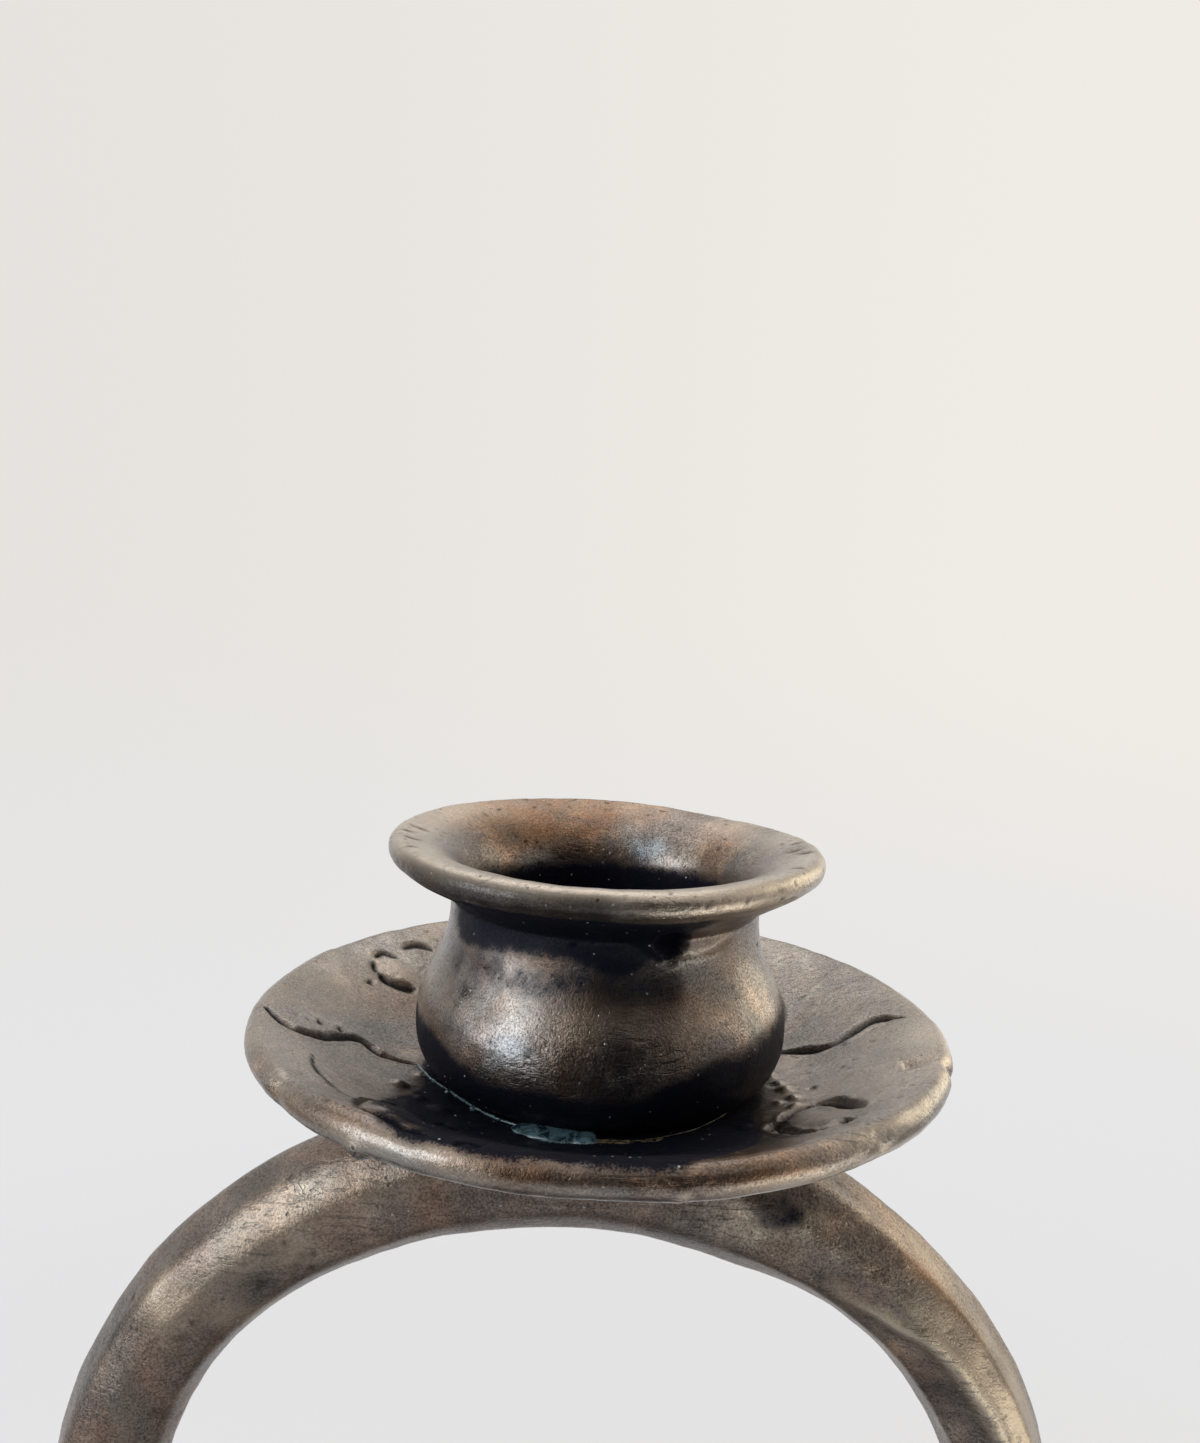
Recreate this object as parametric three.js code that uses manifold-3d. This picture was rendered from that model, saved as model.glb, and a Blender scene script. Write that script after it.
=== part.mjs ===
// Three-arm candelabra in patinated bronze.
// A domed base carries a stem and a hub. Two forged arms are pinned into the hub, and an oval hoop stands
// on it, held by a tall finial nut on a tie rod. Each arm and the hoop's crown carry a drip pan and a candle
// cup, screwed down from inside the cup. Millimetres, Z up, origin in the middle of the felt's underside.
import * as THREE from 'three';
import { mergeVertices } from 'three/addons/utils/BufferGeometryUtils.js';
import Module from 'manifold-3d';

const wasm = await Module();
wasm.setup();

// Clearance between a piece and the hole or cradle that takes it
const fitGap = 0.3;

// Candle cup
const candleBoreRadius = 11.2;
const neckWall = 2.05;
const bellySwell = 2.7;
const footTuck = 2.4;
const lipFlare = 5.25;
const lipRadius = 1.1;
const cupFloor = 3;
const bellyHeight = 4.4;
const neckRise = 10.5;
const lipRise = 4.4;
const throatDrop = 6.2;

// Drip pan
const panRadius = 29.7;
const panDepth = 4;
const panThickness = 2;
const panEdgeThickness = 2.6;
const panFloorMargin = 1.25;

// Cup screw and its washer
const screwRadius = 2;
const screwHeadRadius = 4;
const screwHeadHeight = 2.4;
const screwHeadChamfer = 0.6;
const slotWidth = 1;
const slotDepth = 1.2;
const screwBite = 6;
const screwHoleSpare = 2;
const cupWasherRadius = 6;
const cupWasherThickness = 1;

// Collars below the drip pans
const saddleHeight = 2;
const saddleRadius = 6.2;
const seatHeight = 7;
const seatTopRadius = 9.5;
const seatRingHeight = 1.6;

// Section of the forged bars: at 2 it is round, and the more, the squarer
const barSquareness = 2.6;

// Oval hoop, measured on the bar's centreline
const hoopHalfWidth = 41;
const hoopHalfHeight = 35.65;
const hoopHalfThickness = 4.7;
const hoopHalfDepth = 4.8;
const hoopSwell = 0.8;
const filedDepth = 0.8;
const filedMargin = 1.3;
const cupOffset = 2;

// Side arms
const armReach = 108;
const armDip = 9;
const sideDrop = 36;
const armRootHalf = 5.6;
const armTipHalf = 4.7;
const tenonRadius = 4;
const tenonLength = 7.5;
const armPinRadius = 1.2;
const armPinInset = 3.8;

// Stem
const rodRadius = 3;
const footCollarHeight = 7;
const footCollarRadius = 13;
const footCollarMargin = 1;
const shaftLength = 62;
const shaftFootRadius = 8.6;
const shaftHeadRadius = 6.8;
const knopHeight = 16;
const knopRadius = 12.5;
const knopNeckRadius = 7.6;
const hubHeight = 20;
const hubRadius = 13;
const hubFlat = 1;
const hubRounding = 2;
const cradleDepth = 3;

// Finial nut
const finialHeight = 38.5;
const finialFootRadius = 6.6;
const finialBulbRadius = 6;
const finialWaistRadius = 4.4;
const finialTipRadius = 1.3;
const finialThreadDepth = 12;

// Base
const feltThickness = 1.5;
const feltInset = 1.5;
const baseRadius = 68;
const baseHeight = 20;
const baseEdgeThickness = 4.8;
const baseRimWidth = 20;
const baseChannelDepth = 1.4;
const baseChannelReach = 12;
const baseWeb = 7;
const bossRadius = 15;
const bossFootMargin = 6;
const webMargin = 3;
const baseWasherRadius = 9;
const baseWasherThickness = 1.6;
const baseNutHalfFlat = 5;
const baseNutHeight = 5;
const rodEnd = 1.4;

// Facets
const curveSteps = 3;
const cupFacets = 28;
const panFacets = 32;
const shaftSides = 8;
const nutSides = 6;
const baseFacets = 36;
const stemFacets = 20;
const smallFacets = 16;
const pinFacets = 12;
const barSides = 12;
const hoopSteps = 44;
const armSteps = 22;

// Sizes that follow from those above
const neckRadius = candleBoreRadius + neckWall;
const bellyRadius = neckRadius + bellySwell;
const footRadius = bellyRadius - footTuck;
const rimRadius = neckRadius + lipFlare;
const neckHeight = bellyHeight + neckRise;
const rimHeight = neckHeight + lipRise;
const screwHoleRadius = screwRadius + fitGap;
const rodHoleRadius = rodRadius + fitGap;
const panUnderside = -panDepth - panThickness;
const hoopEndHalf = hoopHalfThickness + hoopSwell;

// Levels, from the table up
const collarLevel = baseHeight;
const shaftLevel = collarLevel + footCollarHeight;
const knopLevel = shaftLevel + shaftLength;
const hubLevel = knopLevel + knopHeight;
const armLevel = hubLevel + hubHeight / 2;
const hubTop = hubLevel + hubHeight;
const hoopCentre = hubTop - cradleDepth + hoopEndHalf + hoopHalfHeight + fitGap;
const finialLevel = hoopCentre - hoopHalfHeight + hoopEndHalf - filedDepth;
const crownFlat = hoopCentre + hoopHalfHeight + hoopEndHalf - filedDepth;
const panLevel = crownFlat + saddleHeight - panUnderside;
const armTop = panLevel - sideDrop + panUnderside - seatHeight;
const baseWebLevel = baseHeight - baseWeb;
const baseNutLevel = baseWebLevel - baseWasherThickness - baseNutHeight;

// Finishes
function finish(color, roughness, metalness) {
  return new THREE.MeshStandardMaterial({ color, roughness, metalness });
}
const castBronze = finish(0x54463a, 0.42, 1);
const forgedBronze = finish(0x5e5243, 0.5, 1);
const turnedBronze = finish(0x66584a, 0.4, 1);
const brass = finish(0x9c7f4a, 0.35, 1);
const steel = finish(0x8b8e90, 0.4, 1);
const felt = finish(0x2e3a30, 0.95, 0);

// Closed mesh to solid and back, for cuts and joins
function toSolid(geometry) {
  const bare = geometry.clone();
  bare.deleteAttribute('normal');
  bare.deleteAttribute('uv');
  const merged = mergeVertices(bare, 1e-4);
  const corners = merged.index.array;
  const kept = [];
  for (let i = 0; i < corners.length; i += 3) {
    const [a, b, c] = [corners[i], corners[i + 1], corners[i + 2]];
    if (a !== b && b !== c && c !== a) kept.push(a, b, c);
  }
  const vertProperties = new Float32Array(merged.attributes.position.array);
  return new wasm.Manifold(new wasm.Mesh({ numProp: 3, vertProperties, triVerts: new Uint32Array(kept) }));
}

function toGeometry(solid) {
  const mesh = solid.getMesh();
  const geometry = new THREE.BufferGeometry();
  geometry.setAttribute('position', new THREE.BufferAttribute(mesh.vertProperties, 3));
  geometry.setIndex(new THREE.BufferAttribute(mesh.triVerts, 1));
  geometry.computeVertexNormals();
  return geometry;
}

function cut(geometry, tools) {
  let solid = toSolid(geometry);
  for (const tool of tools) solid = solid.subtract(toSolid(tool));
  return toGeometry(solid);
}

// Body of revolution about Z, from a closed outline of radius and height that runs anticlockwise
function turned(outline, facets) {
  const geometry = new THREE.LatheGeometry(outline.getPoints(curveSteps), facets);
  geometry.rotateX(Math.PI / 2);
  return geometry;
}

// Cylinder about Z, standing on z = bottom
function cylinder(radius, bottom, height, facets) {
  const geometry = new THREE.CylinderGeometry(radius, radius, height, facets);
  geometry.rotateX(Math.PI / 2);
  geometry.translate(0, 0, bottom + height / 2);
  return geometry;
}

// Curve on to a point, leaving and arriving upright. Its handles are shares of the height that it climbs.
function uprightCurve(outline, radius, height, leaveShare, arriveShare) {
  const start = outline.currentPoint.clone();
  const climb = height - start.y;
  outline.bezierCurveTo(
    start.x, start.y + climb * leaveShare, radius, height - climb * arriveShare, radius, height);
}

// Curve on to a point, leaving and arriving level. Its handles are shares of the width that it crosses.
function levelCurve(outline, radius, height, leaveShare, arriveShare) {
  const start = outline.currentPoint.clone();
  const width = radius - start.x;
  outline.bezierCurveTo(
    start.x + width * leaveShare, start.y, radius - width * arriveShare, height, radius, height);
}

// Flat ring about Z, standing on z = 0
function ring(outerRadius, innerRadius, height, facets) {
  const outline = new THREE.Path();
  outline.moveTo(innerRadius, 0);
  outline.lineTo(outerRadius, 0);
  outline.lineTo(outerRadius, height);
  outline.lineTo(innerRadius, height);
  outline.lineTo(innerRadius, 0);
  return turned(outline, facets);
}

// Forged bar: a rounded square section carried along a curve of x and z. The half sizes, across the bar in
// the curve's plane and along Y, change along the curve. A ring runs back into its start.
function forgedBar(curve, steps, isRing, halfSizesAt) {
  const positions = [];
  const corners = [];
  const stations = isRing ? steps : steps + 1;
  for (let i = 0; i < stations; i++) {
    const point = curve.getPointAt(i / steps);
    const tangent = curve.getTangentAt(i / steps);
    const [across, along] = halfSizesAt(point, i / steps);
    for (let k = 0; k < barSides; k++) {
      const angle = (2 * Math.PI * (k + 0.5)) / barSides;
      const [c, s] = [Math.cos(angle), Math.sin(angle)];
      const bulge = (Math.abs(c) ** barSquareness + Math.abs(s) ** barSquareness) ** (-1 / barSquareness);
      const offset = across * c * bulge;
      positions.push(point.x + tangent.y * offset, along * s * bulge, point.y - tangent.x * offset);
    }
  }
  for (let i = 0; i < steps; i++) {
    for (let k = 0; k < barSides; k++) {
      const a = i * barSides + k;
      const b = i * barSides + ((k + 1) % barSides);
      const c = ((i + 1) % stations) * barSides + k;
      const d = ((i + 1) % stations) * barSides + ((k + 1) % barSides);
      corners.push(a, b, c, b, d, c);
    }
  }
  if (!isRing) {
    const last = steps * barSides;
    for (let k = 1; k < barSides - 1; k++) {
      corners.push(0, k + 1, k);
      corners.push(last, last + k, last + k + 1);
    }
  }
  const geometry = new THREE.BufferGeometry();
  geometry.setAttribute('position', new THREE.Float32BufferAttribute(positions, 3));
  geometry.setIndex(corners);
  geometry.computeVertexNormals();
  return geometry;
}

// Candle cup: foot, belly, neck and a flared, rounded lip round a straight bore with a funnel mouth
function cupShape() {
  const lipCentre = rimRadius - lipRadius;
  const underLip = -Math.PI / 3;
  const overLip = Math.PI * 0.55;
  const lipStart = new THREE.Vector2(Math.cos(underLip), Math.sin(underLip)).multiplyScalar(lipRadius);
  const lipEnd = new THREE.Vector2(Math.cos(overLip), Math.sin(overLip)).multiplyScalar(lipRadius);
  lipStart.add(new THREE.Vector2(lipCentre, rimHeight));
  lipEnd.add(new THREE.Vector2(lipCentre, rimHeight));
  const throatHeight = rimHeight + lipRadius - throatDrop;
  const [footBulge, footEase, bellyEase] = [0.65, 0.15, 0.45];
  const [neckLeave, neckArrive, flareEase, flareReach] = [0.47, 0.58, 0.16, 0.11];
  const [funnelDip, funnelEase] = [0.7, 0.6];
  const outline = new THREE.Path();
  outline.moveTo(screwHoleRadius, 0);
  outline.lineTo(footRadius, 0);
  outline.bezierCurveTo(
    footRadius + footTuck * footBulge, bellyHeight * footEase,
    bellyRadius, bellyHeight * (1 - bellyEase), bellyRadius, bellyHeight);
  uprightCurve(outline, neckRadius, neckHeight, neckLeave, neckArrive);
  outline.bezierCurveTo(
    neckRadius, neckHeight + lipRise * flareEase,
    lipStart.x - lipFlare * flareReach, lipStart.y - lipRise * flareEase, lipStart.x, lipStart.y);
  outline.absarc(lipCentre, rimHeight, lipRadius, underLip, overLip, false);
  outline.bezierCurveTo(
    (lipEnd.x + candleBoreRadius) / 2, lipEnd.y - lipRadius * funnelDip,
    candleBoreRadius, throatHeight + throatDrop * funnelEase, candleBoreRadius, throatHeight);
  outline.lineTo(candleBoreRadius, cupFloor);
  outline.lineTo(screwHoleRadius, cupFloor);
  outline.lineTo(screwHoleRadius, 0);
  return turned(outline, cupFacets);
}

// Drip pan: a dish with a flat floor and a thick rounded edge, with z = 0 half way up the edge
function panShape() {
  const edgeHalf = panEdgeThickness / 2;
  const edgeCentre = panRadius - edgeHalf;
  const floorRadius = footRadius + panFloorMargin;
  const slope = (edgeCentre - floorRadius) / 3;
  const outline = new THREE.Path();
  outline.moveTo(screwHoleRadius, panUnderside);
  outline.lineTo(floorRadius, panUnderside);
  outline.bezierCurveTo(
    floorRadius + slope, panUnderside, edgeCentre - slope, -edgeHalf - panDepth / 4, edgeCentre, -edgeHalf);
  outline.absarc(edgeCentre, 0, edgeHalf, -Math.PI / 2, Math.PI / 2, false);
  outline.bezierCurveTo(
    edgeCentre - slope, edgeHalf - panDepth / 3, floorRadius + slope, -panDepth, floorRadius, -panDepth);
  outline.lineTo(screwHoleRadius, -panDepth);
  outline.lineTo(screwHoleRadius, panUnderside);
  return turned(outline, panFacets);
}

// Slotted screw with z = 0 under its head
function cupScrewShape(gripLength) {
  const outline = new THREE.Path();
  outline.moveTo(0, -gripLength);
  outline.lineTo(screwRadius, -gripLength);
  outline.lineTo(screwRadius, 0);
  outline.lineTo(screwHeadRadius, 0);
  outline.lineTo(screwHeadRadius, screwHeadHeight - screwHeadChamfer);
  outline.lineTo(screwHeadRadius - screwHeadChamfer, screwHeadHeight);
  outline.lineTo(0, screwHeadHeight);
  const slot = new THREE.BoxGeometry(screwHeadRadius * 3, slotWidth, slotDepth * 2);
  slot.translate(0, 0, screwHeadHeight);
  return cut(turned(outline, pinFacets), [slot]);
}

// Trumpet-shaped collar between an arm's end and its pan
function seatShape() {
  const outline = new THREE.Path();
  outline.moveTo(screwHoleRadius, 0);
  outline.lineTo(armTipHalf, 0);
  outline.quadraticCurveTo(
    armTipHalf, seatHeight - seatRingHeight * 1.5, seatTopRadius, seatHeight - seatRingHeight);
  outline.lineTo(seatTopRadius, seatHeight);
  outline.lineTo(screwHoleRadius, seatHeight);
  outline.lineTo(screwHoleRadius, 0);
  return turned(outline, smallFacets);
}

// Oval hoop, thicker at its crown and foot, with a flat filed on top for the saddle, a flat inside the foot
// for the finial, a screw hole in the crown and the rod's hole through the foot
function hoopBar(growth) {
  const centreline = new THREE.EllipseCurve(0, hoopCentre, hoopHalfWidth, hoopHalfHeight);
  return forgedBar(centreline, hoopSteps, true, (point) => {
    const height = (point.y - hoopCentre) / hoopHalfHeight;
    const swell = hoopSwell * height * height + growth;
    return [hoopHalfThickness + swell, hoopHalfDepth + swell];
  });
}

function hoopShape() {
  const fileSize = hoopEndHalf * 4;
  const crownFile = new THREE.BoxGeometry(fileSize, fileSize, fileSize);
  crownFile.translate(cupOffset, 0, crownFlat + fileSize / 2);
  const footFileHeight = filedDepth * 4;
  const footFile = new THREE.BoxGeometry((finialFootRadius + filedMargin) * 2, fileSize, footFileHeight);
  footFile.translate(0, 0, finialLevel + footFileHeight / 2);
  const screwDepth = screwBite + screwHoleSpare;
  const screwHole = cylinder(screwHoleRadius, crownFlat - screwDepth, screwDepth * 2, smallFacets);
  screwHole.translate(cupOffset, 0, 0);
  const rodHole = cylinder(rodHoleRadius, hubTop - fileSize, fileSize * 2, smallFacets);
  return cut(hoopBar(0), [crownFile, footFile, screwHole, rodHole]);
}

// Side arm towards +X: a round tenon, then a bar that dips, sweeps out and turns up to the pan
function armShape() {
  const shoulder = hubRadius - hubFlat + fitGap;
  const lowLevel = armLevel - armDip;
  const [lowShare, dipShare, sweepShare, riseShare] = [0.48, 0.45, 0.6, 0.55];
  const lowReach = shoulder + (armReach - shoulder) * lowShare;
  const dipPull = (lowReach - shoulder) * dipShare;
  const sweepPull = (armReach - lowReach) * sweepShare;
  const risePull = (armTop - lowLevel) * riseShare;
  const centreline = new THREE.CurvePath();
  centreline.add(new THREE.CubicBezierCurve(
    new THREE.Vector2(shoulder, armLevel), new THREE.Vector2(shoulder + dipPull, armLevel),
    new THREE.Vector2(lowReach - dipPull, lowLevel), new THREE.Vector2(lowReach, lowLevel)));
  centreline.add(new THREE.CubicBezierCurve(
    new THREE.Vector2(lowReach, lowLevel), new THREE.Vector2(lowReach + sweepPull, lowLevel),
    new THREE.Vector2(armReach, armTop - risePull), new THREE.Vector2(armReach, armTop)));
  const bar = forgedBar(centreline, armSteps, false, (point, share) => {
    const half = armRootHalf + (armTipHalf - armRootHalf) * share;
    return [half, half];
  });
  const tenon = new THREE.CylinderGeometry(tenonRadius, tenonRadius, tenonLength * 2, smallFacets);
  tenon.rotateZ(Math.PI / 2);
  tenon.translate(shoulder, 0, armLevel);
  const pinHole = new THREE.CylinderGeometry(
    armPinRadius + fitGap, armPinRadius + fitGap, tenonRadius * 4, pinFacets);
  pinHole.translate(shoulder - armPinInset, 0, armLevel);
  const screwDepth = screwBite + screwHoleSpare;
  const screwHole = cylinder(screwHoleRadius, armTop - screwDepth, screwDepth * 2, smallFacets);
  screwHole.translate(armReach, 0, 0);
  const joined = toSolid(bar).add(toSolid(tenon));
  return toGeometry(joined.subtract(toSolid(pinHole)).subtract(toSolid(screwHole)));
}

// Cross pin through hub and tenon, lying along Y
function armPinShape() {
  const pinReach = hubRadius - hubFlat + fitGap - armPinInset;
  const halfLength = Math.sqrt(hubRadius * hubRadius - pinReach * pinReach) - fitGap;
  const pin = new THREE.CylinderGeometry(armPinRadius, armPinRadius, halfLength * 2, pinFacets);
  pin.translate(pinReach, 0, armLevel);
  return pin;
}

// Hub: a rounded drum with a flat and a socket for each arm and a cradle on top for the hoop's foot
function hubShape() {
  const outline = new THREE.Path();
  outline.moveTo(rodHoleRadius, hubLevel);
  outline.lineTo(hubRadius - hubRounding, hubLevel);
  outline.lineTo(hubRadius, hubLevel + hubRounding);
  outline.lineTo(hubRadius, hubTop - hubRounding);
  outline.lineTo(hubRadius - hubRounding, hubTop);
  outline.lineTo(rodHoleRadius, hubTop);
  outline.lineTo(rodHoleRadius, hubLevel);
  const flatReach = hubRadius - hubFlat;
  const socketFloor = flatReach - tenonLength;
  const socketLength = hubRadius + hubFlat - socketFloor;
  const tools = [hoopBar(fitGap)];
  for (const side of [-1, 1]) {
    const file = new THREE.BoxGeometry(hubFlat * 2, hubRadius * 3, hubHeight * 2);
    file.translate(side * (flatReach + hubFlat), 0, armLevel);
    const socket = new THREE.CylinderGeometry(
      tenonRadius + fitGap, tenonRadius + fitGap, socketLength, smallFacets);
    socket.rotateZ(Math.PI / 2);
    socket.translate(side * (socketFloor + socketLength / 2), 0, armLevel);
    const pinHole = new THREE.CylinderGeometry(
      armPinRadius + fitGap, armPinRadius + fitGap, hubRadius * 3, pinFacets);
    pinHole.translate(side * (flatReach + fitGap - armPinInset), 0, armLevel);
    tools.push(file, socket, pinHole);
  }
  return cut(turned(outline, stemFacets), tools);
}

// Finial nut: foot, waist, bulb and a long spire with a small ball, threaded from below
function finialShape() {
  const footTop = finialHeight * 0.05;
  const waistHeight = finialHeight * 0.14;
  const bulbTop = finialHeight * 0.34;
  const spireFoot = finialHeight * 0.45;
  const shoulderRadius = finialBulbRadius * 0.75;
  const spireRadius = finialBulbRadius * 0.45;
  const tipCentre = finialHeight - finialTipRadius;
  const tipStart = -Math.PI / 4;
  const [bulbEase, spireEase] = [0.15, 0.45];
  const outline = new THREE.Path();
  outline.moveTo(rodHoleRadius, 0);
  outline.lineTo(finialFootRadius, 0);
  outline.lineTo(finialFootRadius, footTop);
  outline.quadraticCurveTo(finialWaistRadius, footTop, finialWaistRadius, waistHeight);
  const bulbRise = bulbTop - waistHeight;
  outline.bezierCurveTo(
    finialBulbRadius, waistHeight + bulbRise * bulbEase,
    finialBulbRadius, bulbTop - bulbRise * bulbEase, shoulderRadius, bulbTop);
  const tipLevel = tipCentre + finialTipRadius * Math.sin(tipStart);
  outline.bezierCurveTo(
    spireRadius, spireFoot, finialTipRadius, spireFoot + (tipLevel - spireFoot) * spireEase,
    finialTipRadius * Math.cos(tipStart), tipLevel);
  outline.absarc(0, tipCentre, finialTipRadius, tipStart, Math.PI / 2, false);
  outline.lineTo(0, finialThreadDepth);
  outline.lineTo(rodHoleRadius, finialThreadDepth);
  outline.lineTo(rodHoleRadius, 0);
  return turned(outline, stemFacets);
}

// Knop: a flattened ball between two necks, bored for the rod
function knopShape() {
  const neck = knopHeight * 0.14;
  const rise = knopHeight / 2 - neck;
  const fullness = (knopRadius - knopNeckRadius) * 0.75;
  const waistEase = 0.5;
  const outline = new THREE.Path();
  outline.moveTo(rodHoleRadius, 0);
  outline.lineTo(knopNeckRadius, 0);
  outline.lineTo(knopNeckRadius, neck);
  outline.bezierCurveTo(
    knopNeckRadius + fullness, neck, knopRadius, knopHeight / 2 - rise * waistEase,
    knopRadius, knopHeight / 2);
  outline.bezierCurveTo(
    knopRadius, knopHeight / 2 + rise * waistEase, knopNeckRadius + fullness, knopHeight - neck,
    knopNeckRadius, knopHeight - neck);
  outline.lineTo(knopNeckRadius, knopHeight);
  outline.lineTo(rodHoleRadius, knopHeight);
  outline.lineTo(rodHoleRadius, 0);
  return turned(outline, stemFacets);
}

// Shaft: eight-sided, tapering upwards, bored for the rod
function shaftShape() {
  const body = new THREE.CylinderGeometry(shaftHeadRadius, shaftFootRadius, shaftLength, shaftSides);
  body.rotateY(Math.PI / shaftSides);
  body.rotateX(Math.PI / 2);
  body.translate(0, 0, shaftLength / 2);
  return cut(body, [cylinder(rodHoleRadius, -shaftLength / 2, shaftLength * 2, smallFacets)]);
}

// Foot collar: a ring with a hollow flank that leads from the base to the shaft
function footCollarShape() {
  const topRadius = shaftFootRadius + footCollarMargin;
  const bandHeight = footCollarHeight * 0.25;
  const outline = new THREE.Path();
  outline.moveTo(rodHoleRadius, 0);
  outline.lineTo(footCollarRadius, 0);
  outline.lineTo(footCollarRadius, bandHeight);
  outline.quadraticCurveTo(topRadius, bandHeight, topRadius, footCollarHeight);
  outline.lineTo(rodHoleRadius, footCollarHeight);
  outline.lineTo(rodHoleRadius, 0);
  return turned(outline, stemFacets);
}

// Base: a low dome with a thick edge, hollow below, with a flat web for washer and nut
function baseShape() {
  const edgeHalf = baseEdgeThickness / 2;
  const edgeCentre = baseRadius - edgeHalf;
  const rimInner = baseRadius - baseRimWidth;
  const bossFoot = bossRadius + bossFootMargin;
  const edgeTop = feltThickness + baseEdgeThickness;
  const channelRadius = baseRadius - baseChannelReach;
  const channelLevel = edgeTop - baseChannelDepth;
  const domeRise = baseHeight - channelLevel;
  const domeWidth = channelRadius - bossFoot;
  const webRadius = baseWasherRadius + webMargin;
  const [shoulderShare, crestShare, bossShare] = [0.28, 0.66, 0.8];
  const [channelEase, domeEase, hollowEase] = [0.25, 0.4, 0.8];
  const outline = new THREE.Path();
  outline.moveTo(rimInner, feltThickness);
  outline.lineTo(edgeCentre, feltThickness);
  outline.absarc(edgeCentre, feltThickness + edgeHalf, edgeHalf, -Math.PI / 2, Math.PI / 2, false);
  levelCurve(outline, channelRadius, channelLevel, channelEase, channelEase);
  outline.bezierCurveTo(
    channelRadius - domeWidth * domeEase, channelLevel,
    bossFoot + domeWidth * domeEase, channelLevel + domeRise * shoulderShare,
    bossFoot, channelLevel + domeRise * crestShare);
  outline.quadraticCurveTo(bossRadius, channelLevel + domeRise * bossShare, bossRadius, baseHeight);
  outline.lineTo(rodHoleRadius, baseHeight);
  outline.lineTo(rodHoleRadius, baseWebLevel);
  outline.lineTo(webRadius, baseWebLevel);
  outline.bezierCurveTo(
    webRadius + baseWeb, baseWebLevel, rimInner * hollowEase, channelLevel, rimInner, feltThickness);
  return turned(outline, baseFacets);
}

// Hexagon nut, standing on z = 0
function baseNutShape() {
  const cornerRadius = baseNutHalfFlat / Math.cos(Math.PI / nutSides);
  const outline = new THREE.Shape();
  for (let k = 0; k < nutSides; k++) {
    const angle = (2 * Math.PI * k) / nutSides;
    const corner = [cornerRadius * Math.cos(angle), cornerRadius * Math.sin(angle)];
    if (k === 0) outline.moveTo(...corner);
    else outline.lineTo(...corner);
  }
  const hole = new THREE.Path();
  hole.absarc(0, 0, rodHoleRadius, 0, Math.PI * 2, true);
  outline.holes.push(hole);
  const options = { depth: baseNutHeight, bevelEnabled: false, curveSegments: pinFacets };
  return new THREE.ExtrudeGeometry(outline, options);
}

// Assembly
function add(parent, name, geometry, material, level = 0) {
  const mesh = new THREE.Mesh(geometry, material);
  mesh.name = name;
  mesh.position.z = level;
  parent.add(mesh);
}

// One light: collar, pan, cup, washer and screw, stacked from the collar's underside up
function addLight(side, collarName, collar, collarHeight) {
  const group = new THREE.Group();
  const panHeight = collarHeight - panUnderside;
  const cupHeight = panHeight - panDepth;
  const washerHeight = cupHeight + cupFloor;
  const headHeight = washerHeight + cupWasherThickness;
  add(group, `${collarName}_${side}`, collar, turnedBronze);
  add(group, `pan_${side}`, panShape(), castBronze, panHeight);
  add(group, `cup_${side}`, cupShape(), castBronze, cupHeight);
  add(group, `cup_washer_${side}`,
    ring(cupWasherRadius, screwHoleRadius, cupWasherThickness, smallFacets), brass, washerHeight);
  add(group, `cup_screw_${side}`, cupScrewShape(headHeight + screwBite), brass, headHeight);
  candelabra.add(group);
  return group;
}

const candelabra = new THREE.Group();

const feltOuterRadius = baseRadius - baseEdgeThickness / 2 - feltInset;
const feltInnerRadius = baseRadius - baseRimWidth + feltInset;
const feltRing = ring(feltOuterRadius, feltInnerRadius, feltThickness, baseFacets);
const baseWasher = ring(baseWasherRadius, rodHoleRadius, baseWasherThickness, smallFacets);
add(candelabra, 'felt_ring', feltRing, felt);
add(candelabra, 'base', baseShape(), castBronze);
add(candelabra, 'base_washer', baseWasher, steel, baseWebLevel - baseWasherThickness);
add(candelabra, 'base_nut', baseNutShape(), steel, baseNutLevel);
const rodBottom = baseNutLevel - rodEnd;
const rodTop = finialLevel + finialThreadDepth - fitGap;
add(candelabra, 'tie_rod', cylinder(rodRadius, rodBottom, rodTop - rodBottom, smallFacets), steel);
add(candelabra, 'foot_collar', footCollarShape(), turnedBronze, collarLevel);
add(candelabra, 'stem_shaft', shaftShape(), forgedBronze, shaftLevel);
add(candelabra, 'stem_knop', knopShape(), turnedBronze, knopLevel);
add(candelabra, 'hub', hubShape(), castBronze);
add(candelabra, 'hoop', hoopShape(), forgedBronze);
add(candelabra, 'finial_nut', finialShape(), turnedBronze, finialLevel);

for (const [side, turn] of [['right', 0], ['left', Math.PI]]) {
  const armGroup = new THREE.Group();
  armGroup.rotation.z = turn;
  add(armGroup, `arm_${side}`, armShape(), forgedBronze);
  add(armGroup, `arm_pin_${side}`, armPinShape(), steel);
  candelabra.add(armGroup);
  const light = addLight(side, 'seat', seatShape(), seatHeight);
  light.position.set(armReach * Math.cos(turn), 0, armTop);
}

const saddle = ring(saddleRadius, screwHoleRadius, saddleHeight, smallFacets);
addLight('center', 'saddle', saddle, saddleHeight).position.set(cupOffset, 0, crownFlat);

export default candelabra;
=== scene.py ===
# Three-arm candelabra in patinated bronze: the looks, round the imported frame. Metres, Z up.
import math

import bmesh
import bpy
from mathutils import Matrix, Vector, noise
from mathutils.geometry import interpolate_bezier
from mathutils.kdtree import KDTree


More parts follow.
